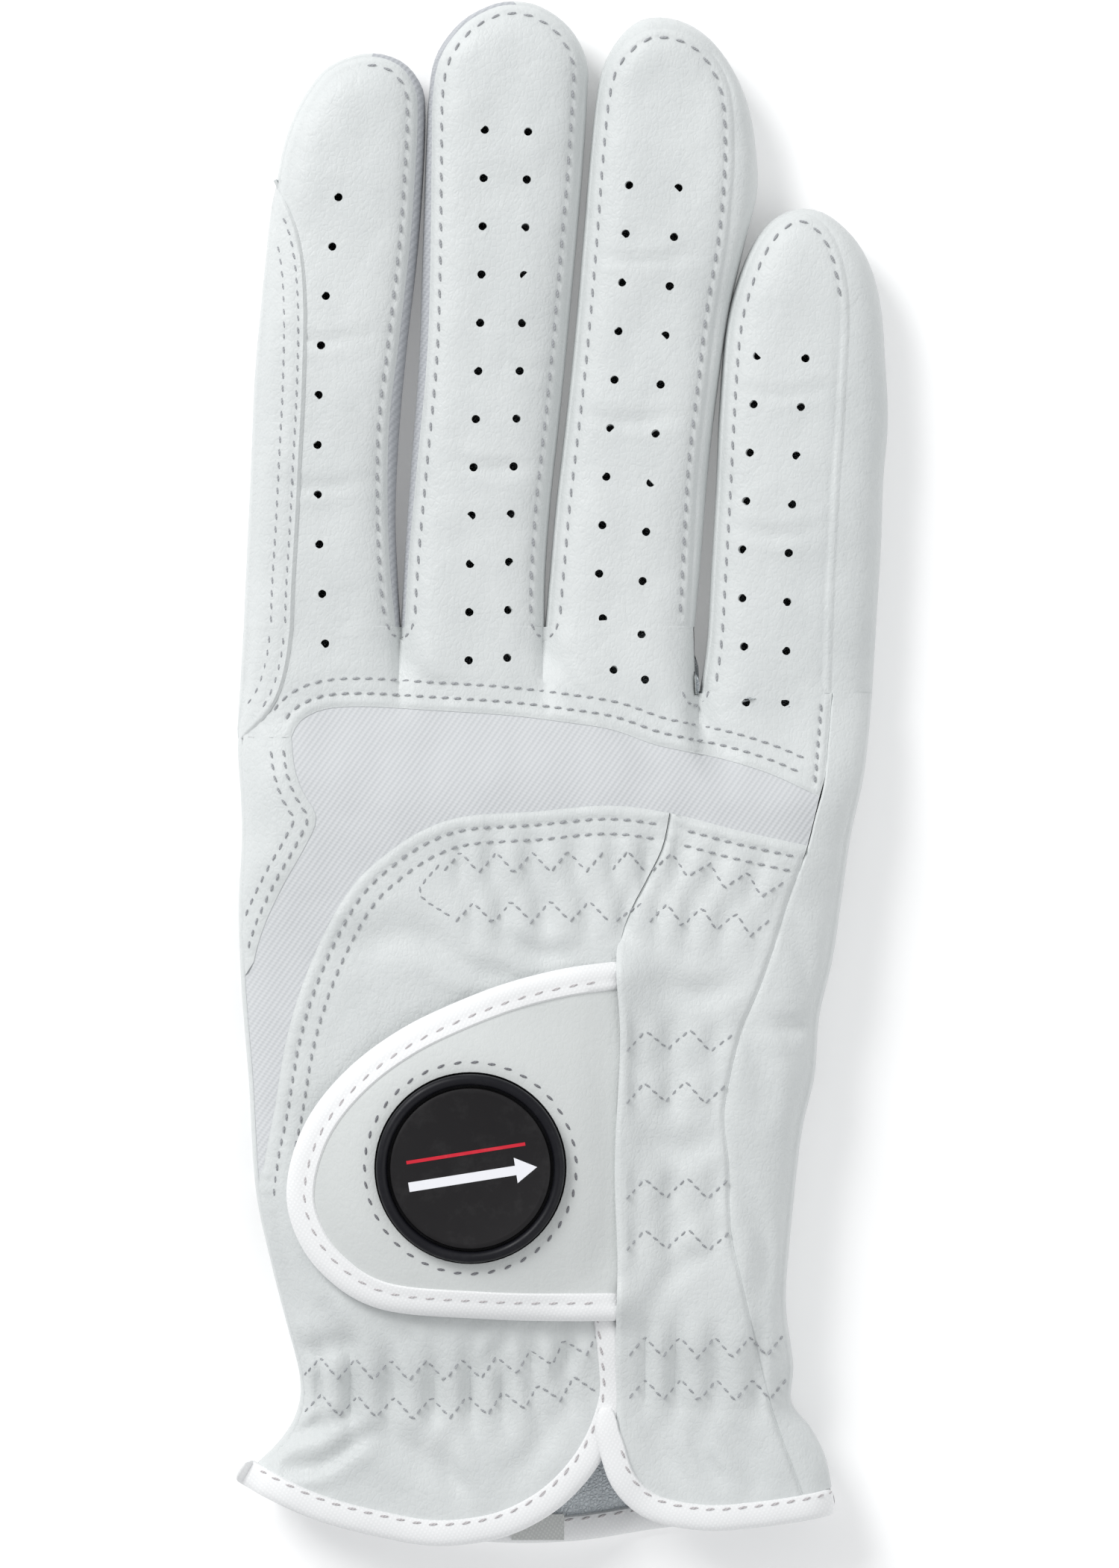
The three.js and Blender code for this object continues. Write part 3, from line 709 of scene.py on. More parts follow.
def thread_finish(colour, roughness=0.7):
    """Twisted sewing thread."""

    def build(n, shader):
        ply = n.bands(wave_rate(0.35), n.mapped(turn=(0, 0, 0.8)))
        dark = tuple(c * 0.72 for c in colour)
        n.put(shader.inputs["Base Color"], n.blend(ply, dark, colour))
        n.put(shader.inputs["Normal"], n.bump(ply, 0.5, 0.00006))
        set_plain(shader, {"Roughness": roughness})

    return build


def moulded_finish(colour, roughness, specks=0.02):
    """Moulded rubber or enamel with a few specks of dust and faint wear."""

    def build(n, shader):
        worn = tuple(min(1.0, c + specks) for c in colour)
        cloud = n.ranged(n.noise(220, 5, 0.7), 0.5, 0.75, 0, 1)
        n.put(shader.inputs["Base Color"], n.blend(cloud, colour, worn))
        wear = n.ranged(n.noise(500, 4), 0.3, 0.7, roughness - 0.06, roughness + 0.08)
        n.put(shader.inputs["Roughness"], wear)
        n.put(shader.inputs["Normal"], n.bump(n.noise(2400, 3), 0.18, 0.00006))
        set_plain(shader, {"Specular IOR Level": 0.25})

    return build


def metal_finish(colour, roughness):
    """Plated steel."""

    def build(n, shader):
        set_plain(shader, {"Metallic": 1.0})
        dark = tuple(c * 0.85 for c in colour)
        n.put(shader.inputs["Base Color"], n.blend(n.noise(700, 4), dark, colour))
        wear = n.ranged(n.noise(900, 4), 0.3, 0.7, roughness - 0.05, roughness + 0.1)
        n.put(shader.inputs["Roughness"], wear)

    return build


FINISHES = {
    "leather": finish("white_leather", leather_finish((0.685, 0.707, 0.704), (0.618, 0.642, 0.641))),
    "flesh": finish("leather_flesh_side", pile_finish((0.62, 0.66, 0.69), (0.5, 0.54, 0.57), 1400)),
    "knit": finish("white_knit", knit_finish((0.65, 0.663, 0.675), (0.575, 0.592, 0.608), 0.75)),
    # painted shade: a darker copy of the knit for the finger side walls, standing in for the shade on their
    # steep sides
    "side_knit": finish("side_knit", knit_finish((0.5, 0.515, 0.54), (0.4, 0.415, 0.44), 0.75)),
    "tape": finish("binding_tape", tape_finish((0.885, 0.888, 0.89), (0.82, 0.825, 0.83))),
    "tab_leather": finish("tab_leather",
                          leather_finish((0.66, 0.68, 0.672), (0.625, 0.645, 0.637), 0.6, 0.6)),
    # painted light: the lining is made lighter than the cloth is, to make up for the shade it lies in under
    # the back of the hand
    "lining": finish("brushed_lining_painted_light", pile_finish((0.86, 0.91, 0.94), (0.76, 0.81, 0.85), 1600)),
    "elastic": finish("woven_elastic", knit_finish((0.8, 0.8, 0.79), (0.6, 0.6, 0.6), 1.3, 1.57)),
    "loop": finish("loop_pile", pile_finish((0.78, 0.79, 0.79), (0.6, 0.61, 0.61))),
    "hook": finish("hook_tape", pile_finish((0.66, 0.68, 0.68), (0.45, 0.47, 0.47), 2200)),
    "label": finish("woven_label", tape_finish((0.68, 0.69, 0.67), (0.54, 0.55, 0.54), 0.5)),
    "rubber": finish("black_rubber", moulded_finish((0.005, 0.005, 0.008), 0.42, 0.008)),
    "enamel": finish("black_enamel", moulded_finish((0.009, 0.008, 0.009), 0.5, 0.012)),
    "white_enamel": finish("white_enamel", moulded_finish((0.86, 0.86, 0.9), 0.4, 0.02)),
    "red_enamel": finish("red_enamel", moulded_finish((0.62, 0.02, 0.04), 0.4, 0.05)),
    "steel": finish("nickel_steel", metal_finish((0.72, 0.72, 0.74), 0.3)),
    "thread": finish("grey_thread", thread_finish((0.4, 0.41, 0.43))),
    "pale_thread": finish("pale_thread", thread_finish((0.62, 0.63, 0.65))),
    "tape_thread": finish("tape_thread", thread_finish((0.6, 0.57, 0.58))),
    "dark_thread": finish("tab_thread", thread_finish((0.22, 0.22, 0.24))),
}

# ---------------------------------------------------------------- making pieces


def finished(name, bm, finishes, flat=False, sharp=math.radians(42)):
    """A mesh from a bmesh in millimetres, scaled to metres, smooth but for its sharp edges."""
    mesh = bpy.data.meshes.new(name)
    bm.normal_update()
    bm.to_mesh(mesh)
    bm.free()
    mesh.transform(Matrix.Scale(MM, 4))
    for key in finishes if isinstance(finishes, (list, tuple)) else [finishes]:
        mesh.materials.append(FINISHES[key])
    if not flat:
        mesh.shade_smooth()
        mesh.set_sharp_from_angle(angle=sharp)
    obj = bpy.data.objects.new(name, mesh)
    bpy.context.scene.collection.objects.link(obj)
    return obj


def settle(obj):
    """Applies an object's modifiers to its mesh."""
    evaluated = obj.evaluated_get(bpy.context.evaluated_depsgraph_get())
    mesh = bpy.data.meshes.new_from_object(evaluated)
    obj.modifiers.clear()
    old = obj.data
    obj.data = mesh
    bpy.data.meshes.remove(old)
    mesh.name = obj.name


EDGE_RINGS = (0.12, 0.2, 0.32, 0.45, 0.4, 0.4)  # widths of the rings of faces along an edge
FEW_RINGS = (0.12, 0.3, 0.6)
NARROW_RINGS = (0.1, 0.18)
CORNER_TURN = 0.5  # radians
GROOVE_DEPTH = 0.2
GROOVE_WIDTH = 0.4
FALL_WIDTH = 0.42
WALL_TUCK = 0.3  # how far a side wall's edges lie inside the panels they meet
SHEET_SHARP = math.radians(50)


def clear_corners(outline, reach):
    """Drops the points beside each sharp corner, so that the rings inside it don't cross."""
    back, ahead = outline - np.roll(outline, 1, 0), np.roll(outline, -1, 0) - outline
    turn = np.arctan2(back[:, 0] * ahead[:, 1] - back[:, 1] * ahead[:, 0], np.sum(back * ahead, 1))
    run = np.concatenate([[0], np.cumsum(np.linalg.norm(ahead, axis=1))])
    total, place = run[-1], run[:-1]
    keep = np.ones(len(outline), bool)
    for i in np.argsort(-turn):
        if turn[i] < CORNER_TURN or not keep[i]:
            continue
        gap = np.abs(place - place[i])
        gap = np.minimum(gap, total - gap)
        whole = min(np.sum(turn[gap < 1.6]), 2.7)
        clear = 1.05 * reach / math.tan((math.pi - whole) / 2) + 0.3
        keep &= (gap > clear) | (gap < 1e-6)
    return outline[keep]


def cut_sheet(outline, cell=1.3, rings=EDGE_RINGS):
    """A flat sheet over an outline: rings that follow the edge, and a grid inside them."""
    outline = clear_corners(outline, sum(rings))
    bm = bmesh.new()
    face = bm.faces.new([bm.verts.new((x, y, 0)) for x, y in outline])
    for width in rings:
        bmesh.ops.inset_individual(bm, faces=[face], thickness=width, use_even_offset=False)
    low, high = np.min(outline, axis=0), np.max(outline, axis=0)
    for axis in (0, 1):
        normal = Vector((1, 0, 0)) if axis == 0 else Vector((0, 1, 0))
        for k in range(int(low[axis] // cell) + 1, int(high[axis] // cell) + 1):
            bmesh.ops.bisect_plane(
                bm,
                geom=[*bm.verts, *bm.edges, *bm.faces],
                dist=0.04,
                plane_co=normal * k * cell,
                plane_no=normal,
            )
    return bm


def raised(bm, surface, down=False, hems=(), edge_fall=0.3):
    """Lifts a flat sheet onto a surface, with turned hems and a groove along each seam row."""
    verts = list(bm.verts)
    x, y = np.array([v.co.xy[:] for v in verts]).T
    z = surface(x, y)
    sign = -1 if down else 1
    for line, rows in hems:
        depth = distance(x, y, line)[0]
        z = z - sign * edge_fall * np.exp(-((depth / FALL_WIDTH) ** 2))
        for row in rows:
            z = z - sign * GROOVE_DEPTH * np.exp(-(((depth - row) / GROOVE_WIDTH) ** 2))
    for vert, height in zip(verts, z):
        vert.co.z = height
    if down:
        bmesh.ops.reverse_faces(bm, faces=bm.faces)


def thickened(obj, thickness):
    """Gives a sheet its thickness, the second finish on its inner side."""
    wall = obj.modifiers.new("thickness", "SOLIDIFY")
    wall.thickness = thickness * MM
    wall.offset = -1
    wall.material_offset = len(obj.data.materials) - 1
    settle(obj)
    obj.data.set_sharp_from_angle(angle=SHEET_SHARP)
    return obj


def panel(name, outline, surface, finishes="leather", thickness=LEATHER, cell=1.0, down=False,
          hems=(), rings=EDGE_RINGS, edge_fall=0.3, holes=()):
    """A leather or cloth panel cut to an outline in plan and laid on a surface."""
    bm = cut_sheet(outline, cell, rings)
    punch(bm, holes)
    raised(bm, surface, down, hems, edge_fall)
    return thickened(finished(name, bm, finishes), thickness)


def woven(rows, merge):
    """A grid of faces through rows of points, with points that meet merged."""
    across, count = len(rows), len(rows[0])
    bm = bmesh.new()
    bmesh.ops.create_grid(bm, x_segments=count - 1, y_segments=across - 1, size=1)
    ordered = sorted(bm.verts, key=lambda v: (round(v.co.y, 5), round(v.co.x, 5)))
    for i, vert in enumerate(ordered):
        vert.co = rows[i // count][i % count]
    bmesh.ops.remove_doubles(bm, verts=bm.verts, dist=merge)
    return bm


def strip(name, rows, finishes="leather", thickness=LEATHER):
    """A strip made of rows along it, given from left to right as seen from outside."""
    return thickened(finished(name, woven(rows, 0.002), finishes), thickness)


def rolled(start, end, start_z, end_z, steps, first=1):
    """Rows that turn a quarter round, from level at one line to upright at another."""
    turns = np.linspace(0, math.pi / 2, steps)[first:]
    return [
        np.column_stack([mix(start, end, math.sin(turn)), mix(end_z, start_z, math.cos(turn))])
        for turn in turns
    ]


def rolled_under(start, end, start_z, end_z, steps):
    """Rows that turn a quarter round, from upright at one line to level at another."""
    return [
        np.column_stack([mix(end, start, math.cos(turn)), mix(start_z, end_z, math.sin(turn))])
        for turn in np.linspace(0, math.pi / 2, steps)[1:]
    ]


def side_wall(name, lines, top, bottom, waist, finishes="leather", thickness=0.7):
    """A side strip from a back panel's edge, round the silhouette, to the edge underneath."""
    upper, middle, lower = lines
    upper, lower = counted(upper, len(middle)), counted(lower, len(middle))
    high = top(*upper.T) - WALL_TUCK
    low = bottom(*lower.T) + WALL_TUCK
    waist_z = waist(*middle.T)
    rows = rolled(upper, middle, high, waist_z, 7, first=0)
    rows += rolled_under(middle, lower, waist_z, low, 7)
    return strip(name, rows, finishes, thickness)


def on(surface, line, above=0.0):
    """A line in plan laid on a surface, as points in space."""
    z = surface(line[:, 0], line[:, 1]) + above
    return np.column_stack([line, z])


def stitches(name, rows, finish_name="thread", pitch=STITCH_PITCH, size=(0.72, 0.19, 0.17)):
    """Rows of short stitches, each a small thread loop half sunk into the leather."""
    bm = bmesh.new()
    for row in rows:
        total = lengths(row)[-1]
        count = max(1, round(total / pitch))
        places = (np.arange(count) + 0.5) * total / count
        here, ahead = along(row, places), along(row, places + 0.2)
        for point, toward in zip(here, ahead):
            tangent = Vector(toward - point).normalized()
            side = Vector((0, 0, 1)).cross(tangent).normalized()
            up = tangent.cross(side)
            slant = (tangent + side * 0.16).normalized()
            axes = Matrix((slant, up.cross(slant), up)).transposed().to_4x4()
            matrix = Matrix.Translation(point) @ axes @ Matrix.Diagonal((*size, 1))
            matrix = matrix @ Matrix.Rotation(math.pi / 2, 4, "Y")
            bmesh.ops.create_uvsphere(bm, u_segments=6, v_segments=4, radius=1, matrix=matrix)
    return finished(name, bm, finish_name)


ZIGZAG_REACH = 1.5
ZIGZAG_ABOVE = 0.05


def zigzag(line, surface, period):
    """A zigzag of thread along a line in plan, laid on a surface."""
    total = lengths(line)[-1]
    fine = respaced(line, 0.5)
    phase = lengths(fine) / (total / max(1, round(total / (period / 2)))) / 2
    swing = ZIGZAG_REACH * (4 * np.abs(phase - np.floor(phase + 0.5)) - 1)
    return on(surface, sideways(fine, swing), ZIGZAG_ABOVE)


def body(obj, name):
    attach(obj, name)
    return obj


def pick(obj):
    return obj


def across_joint(obj):
    """Bakes a piece's placement into its mesh; used for pieces that cross a finger's root."""
    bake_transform(obj)


# ---------------------------------------------------------------- camera, light and floor

VIEW_WIDTH = 0.2353  # metres, length of the long side of the view at the glove
VIEW_CENTRE = (-0.0002, -0.0016)  # metres
VIEW_HEIGHT = 0.009
LENS = 135
SENSOR = 36


def camera_and_light():
    data = bpy.data.cameras.new("camera")
    data.lens = LENS
    data.sensor_width = SENSOR
    data.clip_end = 10
    camera = bpy.data.objects.new("camera", data)
    away = VIEW_WIDTH / SENSOR * LENS
    camera.location = (*VIEW_CENTRE, away + VIEW_HEIGHT)
    bpy.context.scene.collection.objects.link(camera)
    bpy.context.scene.camera = camera

    world = bpy.data.worlds.new("studio")
    world.use_nodes = True
    sky = world.node_tree.nodes["Background"].inputs
    sky["Color"].default_value = (0.97, 0.985, 1, 1)
    sky["Strength"].default_value = 0.56
    bpy.context.scene.world = world
    bpy.context.scene.view_settings.view_transform = "Standard"

    for name, place, size, power in (
        ("key", (-0.75, 0.8, 0.85), 0.6, 13),
        ("fill", (0.8, -0.35, 0.9), 1.1, 3),
    ):
        light = bpy.data.lights.new(name, "AREA")
        light.size = size
        light.energy = power
        obj = bpy.data.objects.new(name, light)
        obj.location = place
        obj.rotation_euler = Vector(place).to_track_quat("Z", "Y").to_euler()
        bpy.context.scene.collection.objects.link(obj)

    bm = bmesh.new()
    bmesh.ops.create_grid(bm, x_segments=1, y_segments=1, size=900)
    floor = finished("floor", bm, [], flat=True)
    floor.location.z = -0.0001
    paper = bpy.data.materials.new("pale_floor")
    paper.use_nodes = True
    sheet = paper.node_tree.nodes["Principled BSDF"].inputs
    sheet["Base Color"].default_value = (0.93, 0.93, 0.93, 1)
    sheet["Roughness"].default_value = 0.9
    sheet["Emission Color"].default_value = (1, 1, 1, 1)
    sheet["Emission Strength"].default_value = 0.16
    floor.data.materials.append(paper)


camera_and_light()

# ---------------------------------------------------------------- fingers

HOLE_RADIUS = 0.64
HOLE_CUT = 0.42  # how far out the sheet is cut before a hole is rounded
HOLE_RIM = 0.98  # nearest place for the other points about a hole
HOLE_REACH = 1.05
SEAM_CLEAR = 1.2  # least distance of a hole from the knuckle's seam
SINGLE_ROW = 1.5
HEM_DROP = 8


def cut_with(obj, bm):
    """Cuts the solids in a bmesh out of a panel."""
    cutter = finished("cutter", bm, [], flat=True)
    cut = obj.modifiers.new("holes", "BOOLEAN")
    cut.object = cutter
    cut.operation = "DIFFERENCE"
    cut.solver = "EXACT"
    settle(obj)
    bpy.data.objects.remove(cutter)


def hole_places(fingers, wanted):
    """Centres of the air holes whose place along the finger is wanted."""
    places = []
    for finger in fingers:
        for column, count in zip(finger["holes"], finger["hole_counts"]):
            for x, y in counted(spline(column, 1), count):
                past = y - finger["knuckle"]
                if abs(past) < SEAM_CLEAR:
                    y += math.copysign(SEAM_CLEAR - abs(past), past)
                if wanted(y - finger["knuckle"]):
                    places.append(Vector((x, y, 0)))
    return places


def punch(bm, places):
    """Opens a small round hole in a flat sheet at each place."""
    for place in places:
        nearest = min(bm.verts, key=lambda v: (v.co - place).length_squared)
        nearest.co = place
        made = bmesh.ops.bevel(bm, geom=[nearest], offset=HOLE_CUT, offset_type="OFFSET", affect="VERTICES",
                               segments=1, profile=0.5, material=-1)
        middle = min(made["faces"], key=lambda f: (f.calc_center_median() - place).length_squared)
        rim = list(middle.edges)
        bmesh.ops.delete(bm, geom=[middle], context="FACES_ONLY")
        bmesh.ops.subdivide_edges(bm, edges=rim, cuts=2)
        for vert in bm.verts:
            away = (vert.co - place).length
            if away < HOLE_REACH:
                outward = (vert.co - place).normalized()
                vert.co = place + outward * (HOLE_RADIUS if vert.is_boundary else max(away, HOLE_RIM))


def extended(line, drop):
    """An edge line carried straight down past its two ends, so that no hem shows there."""
    return np.vstack([line[:1] - [0, drop], line, line[-1:] - [0, drop]])


SIDE_INSET = 0.75  # how far a back panel's edge and a palm panel's edge lie inside the silhouette
PALM_INSET = 1.6
BOTH = ["leather", "flesh"]


def finger_waist(x, y):
    return np.full(np.shape(x), FINGER_MIDDLE)


def finger_parts(finger):
    name = finger["name"]
    edge, back_edge = finger["edge"], spline(finger["back"])
    front_edge = sideways(edge, -PALM_INSET)

    def top(x, y):
        return back_surface(x, y, finger)

    def floor(x, y):
        return palm_surface(x, y, finger)

    back = panel(name + "_back_leather", ring(back_edge), top, BOTH,
                 hems=[(extended(back_edge, HEM_DROP), (SINGLE_ROW,))],
                 holes=hole_places([finger], lambda past: past > 0))
    front = panel(name + "_front_leather", ring(front_edge), floor, BOTH, down=True,
                  cell=2, hems=[(extended(front_edge, HEM_DROP), (SINGLE_ROW,))])
    pieces = [(back, name + "_back", "leather"), (front, name + "_front", "leather")]

    tips = [int(np.argmax(line[:, 1])) for line in (back_edge, edge, front_edge)]
    lines = (back_edge, edge, front_edge)
    halves = (
        [line[: tip + 1] for line, tip in zip(lines, tips)],
        [line[tip:] for line, tip in zip(lines, tips)],
    )
    for half, node, cloth in zip(halves, finger["sides"], finger["finishes"]):
        # knit side walls take the knit's darker copy, which is painted shade for their steep sides
        side_finish = "side_knit" if cloth == "knit" else cloth
        side = side_wall(node + "_strip", half, top, floor, finger_waist, side_finish)
        pieces.append((side, node, cloth))
    start, stop = finger.get("stitched", (0, 1))
    row = sideways(back_edge, -SINGLE_ROW)[1:-1]
    row = row[int(start * len(row)) : int(stop * len(row))]
    over = stitches(name + "_stitches", [on(top, row)])
    under_row = on(floor, sideways(front_edge, -SINGLE_ROW)[1:-1])
    under = stitches(name + "_front_stitches", [under_row], "pale_thread")
    for piece in (over, under):
        pick(piece)
        across_joint(piece)
    for piece, node, slot in pieces:
        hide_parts(node)
        pick(piece)
        across_joint(piece)


for finger in FINGERS:
    finger_parts(finger)

# ---------------------------------------------------------------- hand

DOUBLE_RINGS = (0.12, 0.2, 0.35, 0.45, 0.4, 0.4)
DOUBLE_ROWS = (2.0, 4.2)
CLOSE_ROWS = (1.3, 3.2)

insert_top = spline(INSERT_TOP)
insert_bottom = spline(INSERT_BOTTOM)
insert_thumb_side = spline(INSERT_THUMB_SIDE)
opening_edge = spline(OPENING_EDGE)
pouch_edge = spline(POUCH_EDGE, 1)
outer_seam = spline(OUTER_SEAM)
back_hem = spline(BACK_HEM)
outer_hem = spline(OUTER_HEM)
palm_hem = spline(PALM_HEM)


def waist(x, y):
    """Height at which the glove is widest."""
    return mix(hand_middle(x, y), FINGER_MIDDLE, fingers_share(x, y))


def sewn(node, piece, body_name="hand"):
    """Files a finished piece: hides the CAD node it stands for and attaches the piece to its body."""
    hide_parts(node)
    pick(piece)
    return body(piece, body_name)


def hand_panels():
    thumb_inner = sideways(thumb_side, SIDE_INSET)
    crown = np.array([[-46.4, 22.0], *[[x, 22.0] for x in range(-44, 20, 2)], [19.9, 22.0],
                      [20.1, 17], [20.3, 12.0], *[[x, 12.0] for x in range(22, 40, 2)], [40.6, 12]])
    side = between(outer_seam, -3.4, 11.9)
    low_side = between(thumb_inner, 5.4, 21.9)[::-1]
    knuckles = panel(
        "knuckle_leather",
        ring(crown, side, insert_top[::-1], [[-47.6, 5.3]], low_side),
        back_surface, BOTH, rings=DOUBLE_RINGS, cell=0.9,
        hems=[(insert_top, DOUBLE_ROWS), (side, (SINGLE_ROW,))],
        holes=hole_places(FINGERS, lambda past: past < 0),
    )
    sewn("knuckle_panel", knuckles)

    def knit_surface(x, y):
        return back_surface(x, y) - 0.4

    knit_side = [[[-45.3, -60.8]], between(thumb_inner, -60.2, -27.8)[::-1],
                 between(insert_thumb_side, -26.4, 99)[::-1]]
    knit_low = between(insert_bottom, -59.8, 0)
    knit = panel(
        "knuckle_knit",
        ring(insert_top, knit_low[::-1], *knit_side),
        knit_surface, ["knit", "lining"], thickness=KNIT, rings=NARROW_RINGS,
    )
    sewn("knuckle_insert", knit)

    wedge_edge = between(insert_thumb_side, -30, 99)
    wedge = panel(
        "thumb_side_wedge_leather",
        ring(wedge_edge, [[-47.2, -30.2]], between(thumb_inner, -29.4, 4.6)[::-1],
             [[-47.6, 5.5], [-40.4, 5.5]]),
        back_surface, BOTH, rings=NARROW_RINGS, cell=0.9, hems=[(wedge_edge, CLOSE_ROWS)],
    )
    sewn("thumb_side_wedge", wedge)

    under_insert = between(insert_bottom[insert_bottom[:, 0] < 15.4], -59.8, 0)
    cuff_side = [*between(thumb_inner, -104, -60.6)[::-1], [-45.15, -60]]
    wrist = panel(
        "wrist_leather",
        ring(under_insert, opening_edge, back_hem, cuff_side),
        back_surface, BOTH, rings=DOUBLE_RINGS, cell=0.9,
        hems=[(under_insert, DOUBLE_ROWS)],
    )
    sewn("wrist_back_panel", wrist)

    beyond_insert = insert_bottom[insert_bottom[:, 0] > 17.4]
    seam = between(outer_seam, -109, -11.6)
    hem = outer_hem[outer_hem[:, 0] < 36.3]
    outer = panel(
        "outer_side_leather",
        ring(pouch_edge[::-1], beyond_insert, seam, hem[::-1]),
        outer_surface, BOTH, rings=DOUBLE_RINGS, cell=0.9,
        hems=[(beyond_insert, DOUBLE_ROWS), (pouch_edge, ()), (seam, ())],
        edge_fall=0.5,
    )
    sewn("outer_side_panel", outer)

    palm_left = sideways(thumb_side, PALM_INSET)
    palm_right = sideways(outer_side, -PALM_INSET)
    top = np.array([[45, 12], *[[x, 12] for x in range(43, 21, -2)], [20.3, 12], [20.2, 17],
                    [20.1, 22], *[[x, 22] for x in range(18, -45, -2)], [-45.8, 22]])
    palm = panel(
        "palm_leather",
        ring(top, between(palm_left, -104.2, 21.6), palm_hem, between(palm_right, -107, 11.6)[::-1]),
        palm_surface, ["leather", "lining"], down=True, cell=2, rings=FEW_RINGS,
    )
    sewn("palm_panel", palm)

    walls = (
        ("index_root_wall", between(thumb_side, 3.1, 23)),
        ("wrist_side_wall", between(thumb_side, -104.6, 5)),
    )
    for node, line in walls:
        line = line[::-1]
        lines = (sideways(line, -SIDE_INSET), line, sideways(line, -PALM_INSET))
        wall = side_wall(node + "_leather", lines, back_surface, palm_surface, waist)
        sewn(node, wall)

    side = between(outer_side, -108.6, 13)
    seam = between(outer_seam, -108.6, 13)
    seam = counted(seam, len(side))
    lower = sideways(side, -PALM_INSET)
    rim = sideways(side, -0.9)
    rows = [on(back_surface, mix(seam, rim, t), -0.05 - 0.35 * (t == 0)) for t in
            (0.0, 0.06, 0.14, 0.24, 0.36, 0.48, 0.6, 0.7, 0.8, 0.88, 0.94, 1.0)]
    high = rows[-1][:, 2]
    waist_z = waist(*side.T)
    low = palm_surface(*lower.T) + 0.3
    rows += rolled(rim, side, high, waist_z, 7)
    rows += rolled_under(side, lower, waist_z, low, 7)
    wrap = strip("outer_wrap_leather", rows, BOTH, LEATHER)
    sewn("outer_edge_wrap", wrap)


def outer_surface(x, y):
    """The outer side panel rides up over the tab's root and over the cuff's binding."""
    over_tab = smooth_step(y, -84, -77) * (1 - smooth_step(y, -31, -24))
    fold = 3.3 * np.exp(-(((x - 7.5) / 5.6) ** 2)) * over_tab
    over_binding = 1.1 * np.exp(-(((x - 7.5) / 4) ** 2)) * (1 - smooth_step(y, -80, -74))
    return back_surface(x, y) + 0.15 + fold + over_binding


hand_panels()

STRIP_ROWS = (1.3, 3.6)


def overlay(name, node, inner, outer, joint=None):
    """A reinforcing strip laid over the glove's edge, from its inner edge round to the silhouette."""
    inner = counted(inner, len(outer))
    width = np.linalg.norm(outer - inner, axis=1)
    raise_up = smooth_step(width, 0.2, 1.8)
    outer = sideways(outer, 0.3 * raise_up)
    rows = []
    waist_z = waist(*outer.T)
    rim = mix(outer, inner, 0.12)
    for t in (0.0, 0.03, 0.08, 0.16, 0.26, 0.38, 0.5, 0.62, 0.74, 0.86, 1.0):
        line = mix(inner, rim, t)
        depth = np.linalg.norm(line - inner, axis=1)
        groove = GROOVE_DEPTH * sum(np.exp(-(((depth - row) / GROOVE_WIDTH) ** 2)) for row in STRIP_ROWS)
        lift = raise_up * (0.55 - 0.5 * np.exp(-((depth / 0.3) ** 2)) - groove)
        rows.append(on(back_surface, line, 0) + np.column_stack([0 * depth, 0 * depth, lift]))
    high = rows[-1][:, 2]
    waist_z = mix(high, waist_z, raise_up)
    rows += rolled(rim, outer, high, waist_z, 6)
    piece = strip(name, rows, BOTH, 0.5)
    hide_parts(node)
    pick(piece)
    if joint:
        across_joint(piece)
    else:
        body(piece, "hand")


side_edge = spline(SIDE_STRIP_EDGE)[::-1]
overlay("index_side_strip_leather", "index_side_strip", side_edge, between(index_side, 0, 89.6), INDEX)
strip_end = spline(SIDE_STRIP_END)[::-1]
overlay("knuckle_side_strip_leather", "knuckle_side_strip", strip_end, between(thumb_side, 4.9, 23)[::-1])

# ---------------------------------------------------------------- bindings, label and elastics

HEM_TAPE = (  # section of a folded tape, as offset and height about the edge that it binds
    (-0.95, 0.1), (-0.75, 0.42), (-0.2, 0.56), (0.8, 0.62), (1.8, 0.55), (2.55, 0.3), (2.95, -0.15),
    (2.95, -0.75), (2.5, -1.25), (1.6, -1.45), (0.2, -1.45), (-0.75, -1.3), (-0.95, -1.0),
)
END_ROUND = 1.2  # how far from its ends a tape starts to thin
TAB_TAPE = (
    (-4.2, 0.05), (-3.95, 0.36), (-3.2, 0.46), (-2.75, 0.34), (-2.2, 0.48), (-1.2, 0.42), (-0.45, 0.1),
    (0, -0.5), (-0.1, -1.1), (-0.6, -1.5), (-2.2, -1.7), (-3.95, -1.6), (-4.2, -1.3),
)


def mirrored(profile):
    return tuple((-offset, height) for offset, height in profile)


def taped(name, line, profile, surface, follow=False, thin_start=END_ROUND):
    """Folded tape swept along an edge; the profile gives offsets to the left and heights."""
    total = lengths(line)[-1]
    near_end = np.array([0.05, 0.2, 0.45, 0.8])
    stops = np.concatenate([[0], near_end, lengths(line)[1:-1], total - near_end[::-1], [total]])
    stops = np.unique(stops.round(4))
    line = along(line, stops)
    to_end = np.clip(np.minimum(stops / thin_start, (total - stops) / END_ROUND), 0, 1)
    fullness = mix(0.25, 1, np.sqrt(1 - (1 - to_end) ** 2))
    heart = np.mean(profile, axis=0)
    rows = []
    for offset, height in profile + profile[:1]:
        edge = sideways(line, mix(heart[0], offset, fullness))
        base = edge if follow else line
        rows.append(np.column_stack([edge, surface(*base.T) + mix(heart[1], height, fullness)]))
    bm = woven(rows, 0.0005)
    bmesh.ops.holes_fill(bm, edges=[e for e in bm.edges if e.is_boundary], sides=len(profile))
    bmesh.ops.recalc_face_normals(bm, faces=bm.faces)
    return finished(name, bm, "tape")


def palm_hem_surface(x, y):
    return palm_surface(x, y) + 1.4


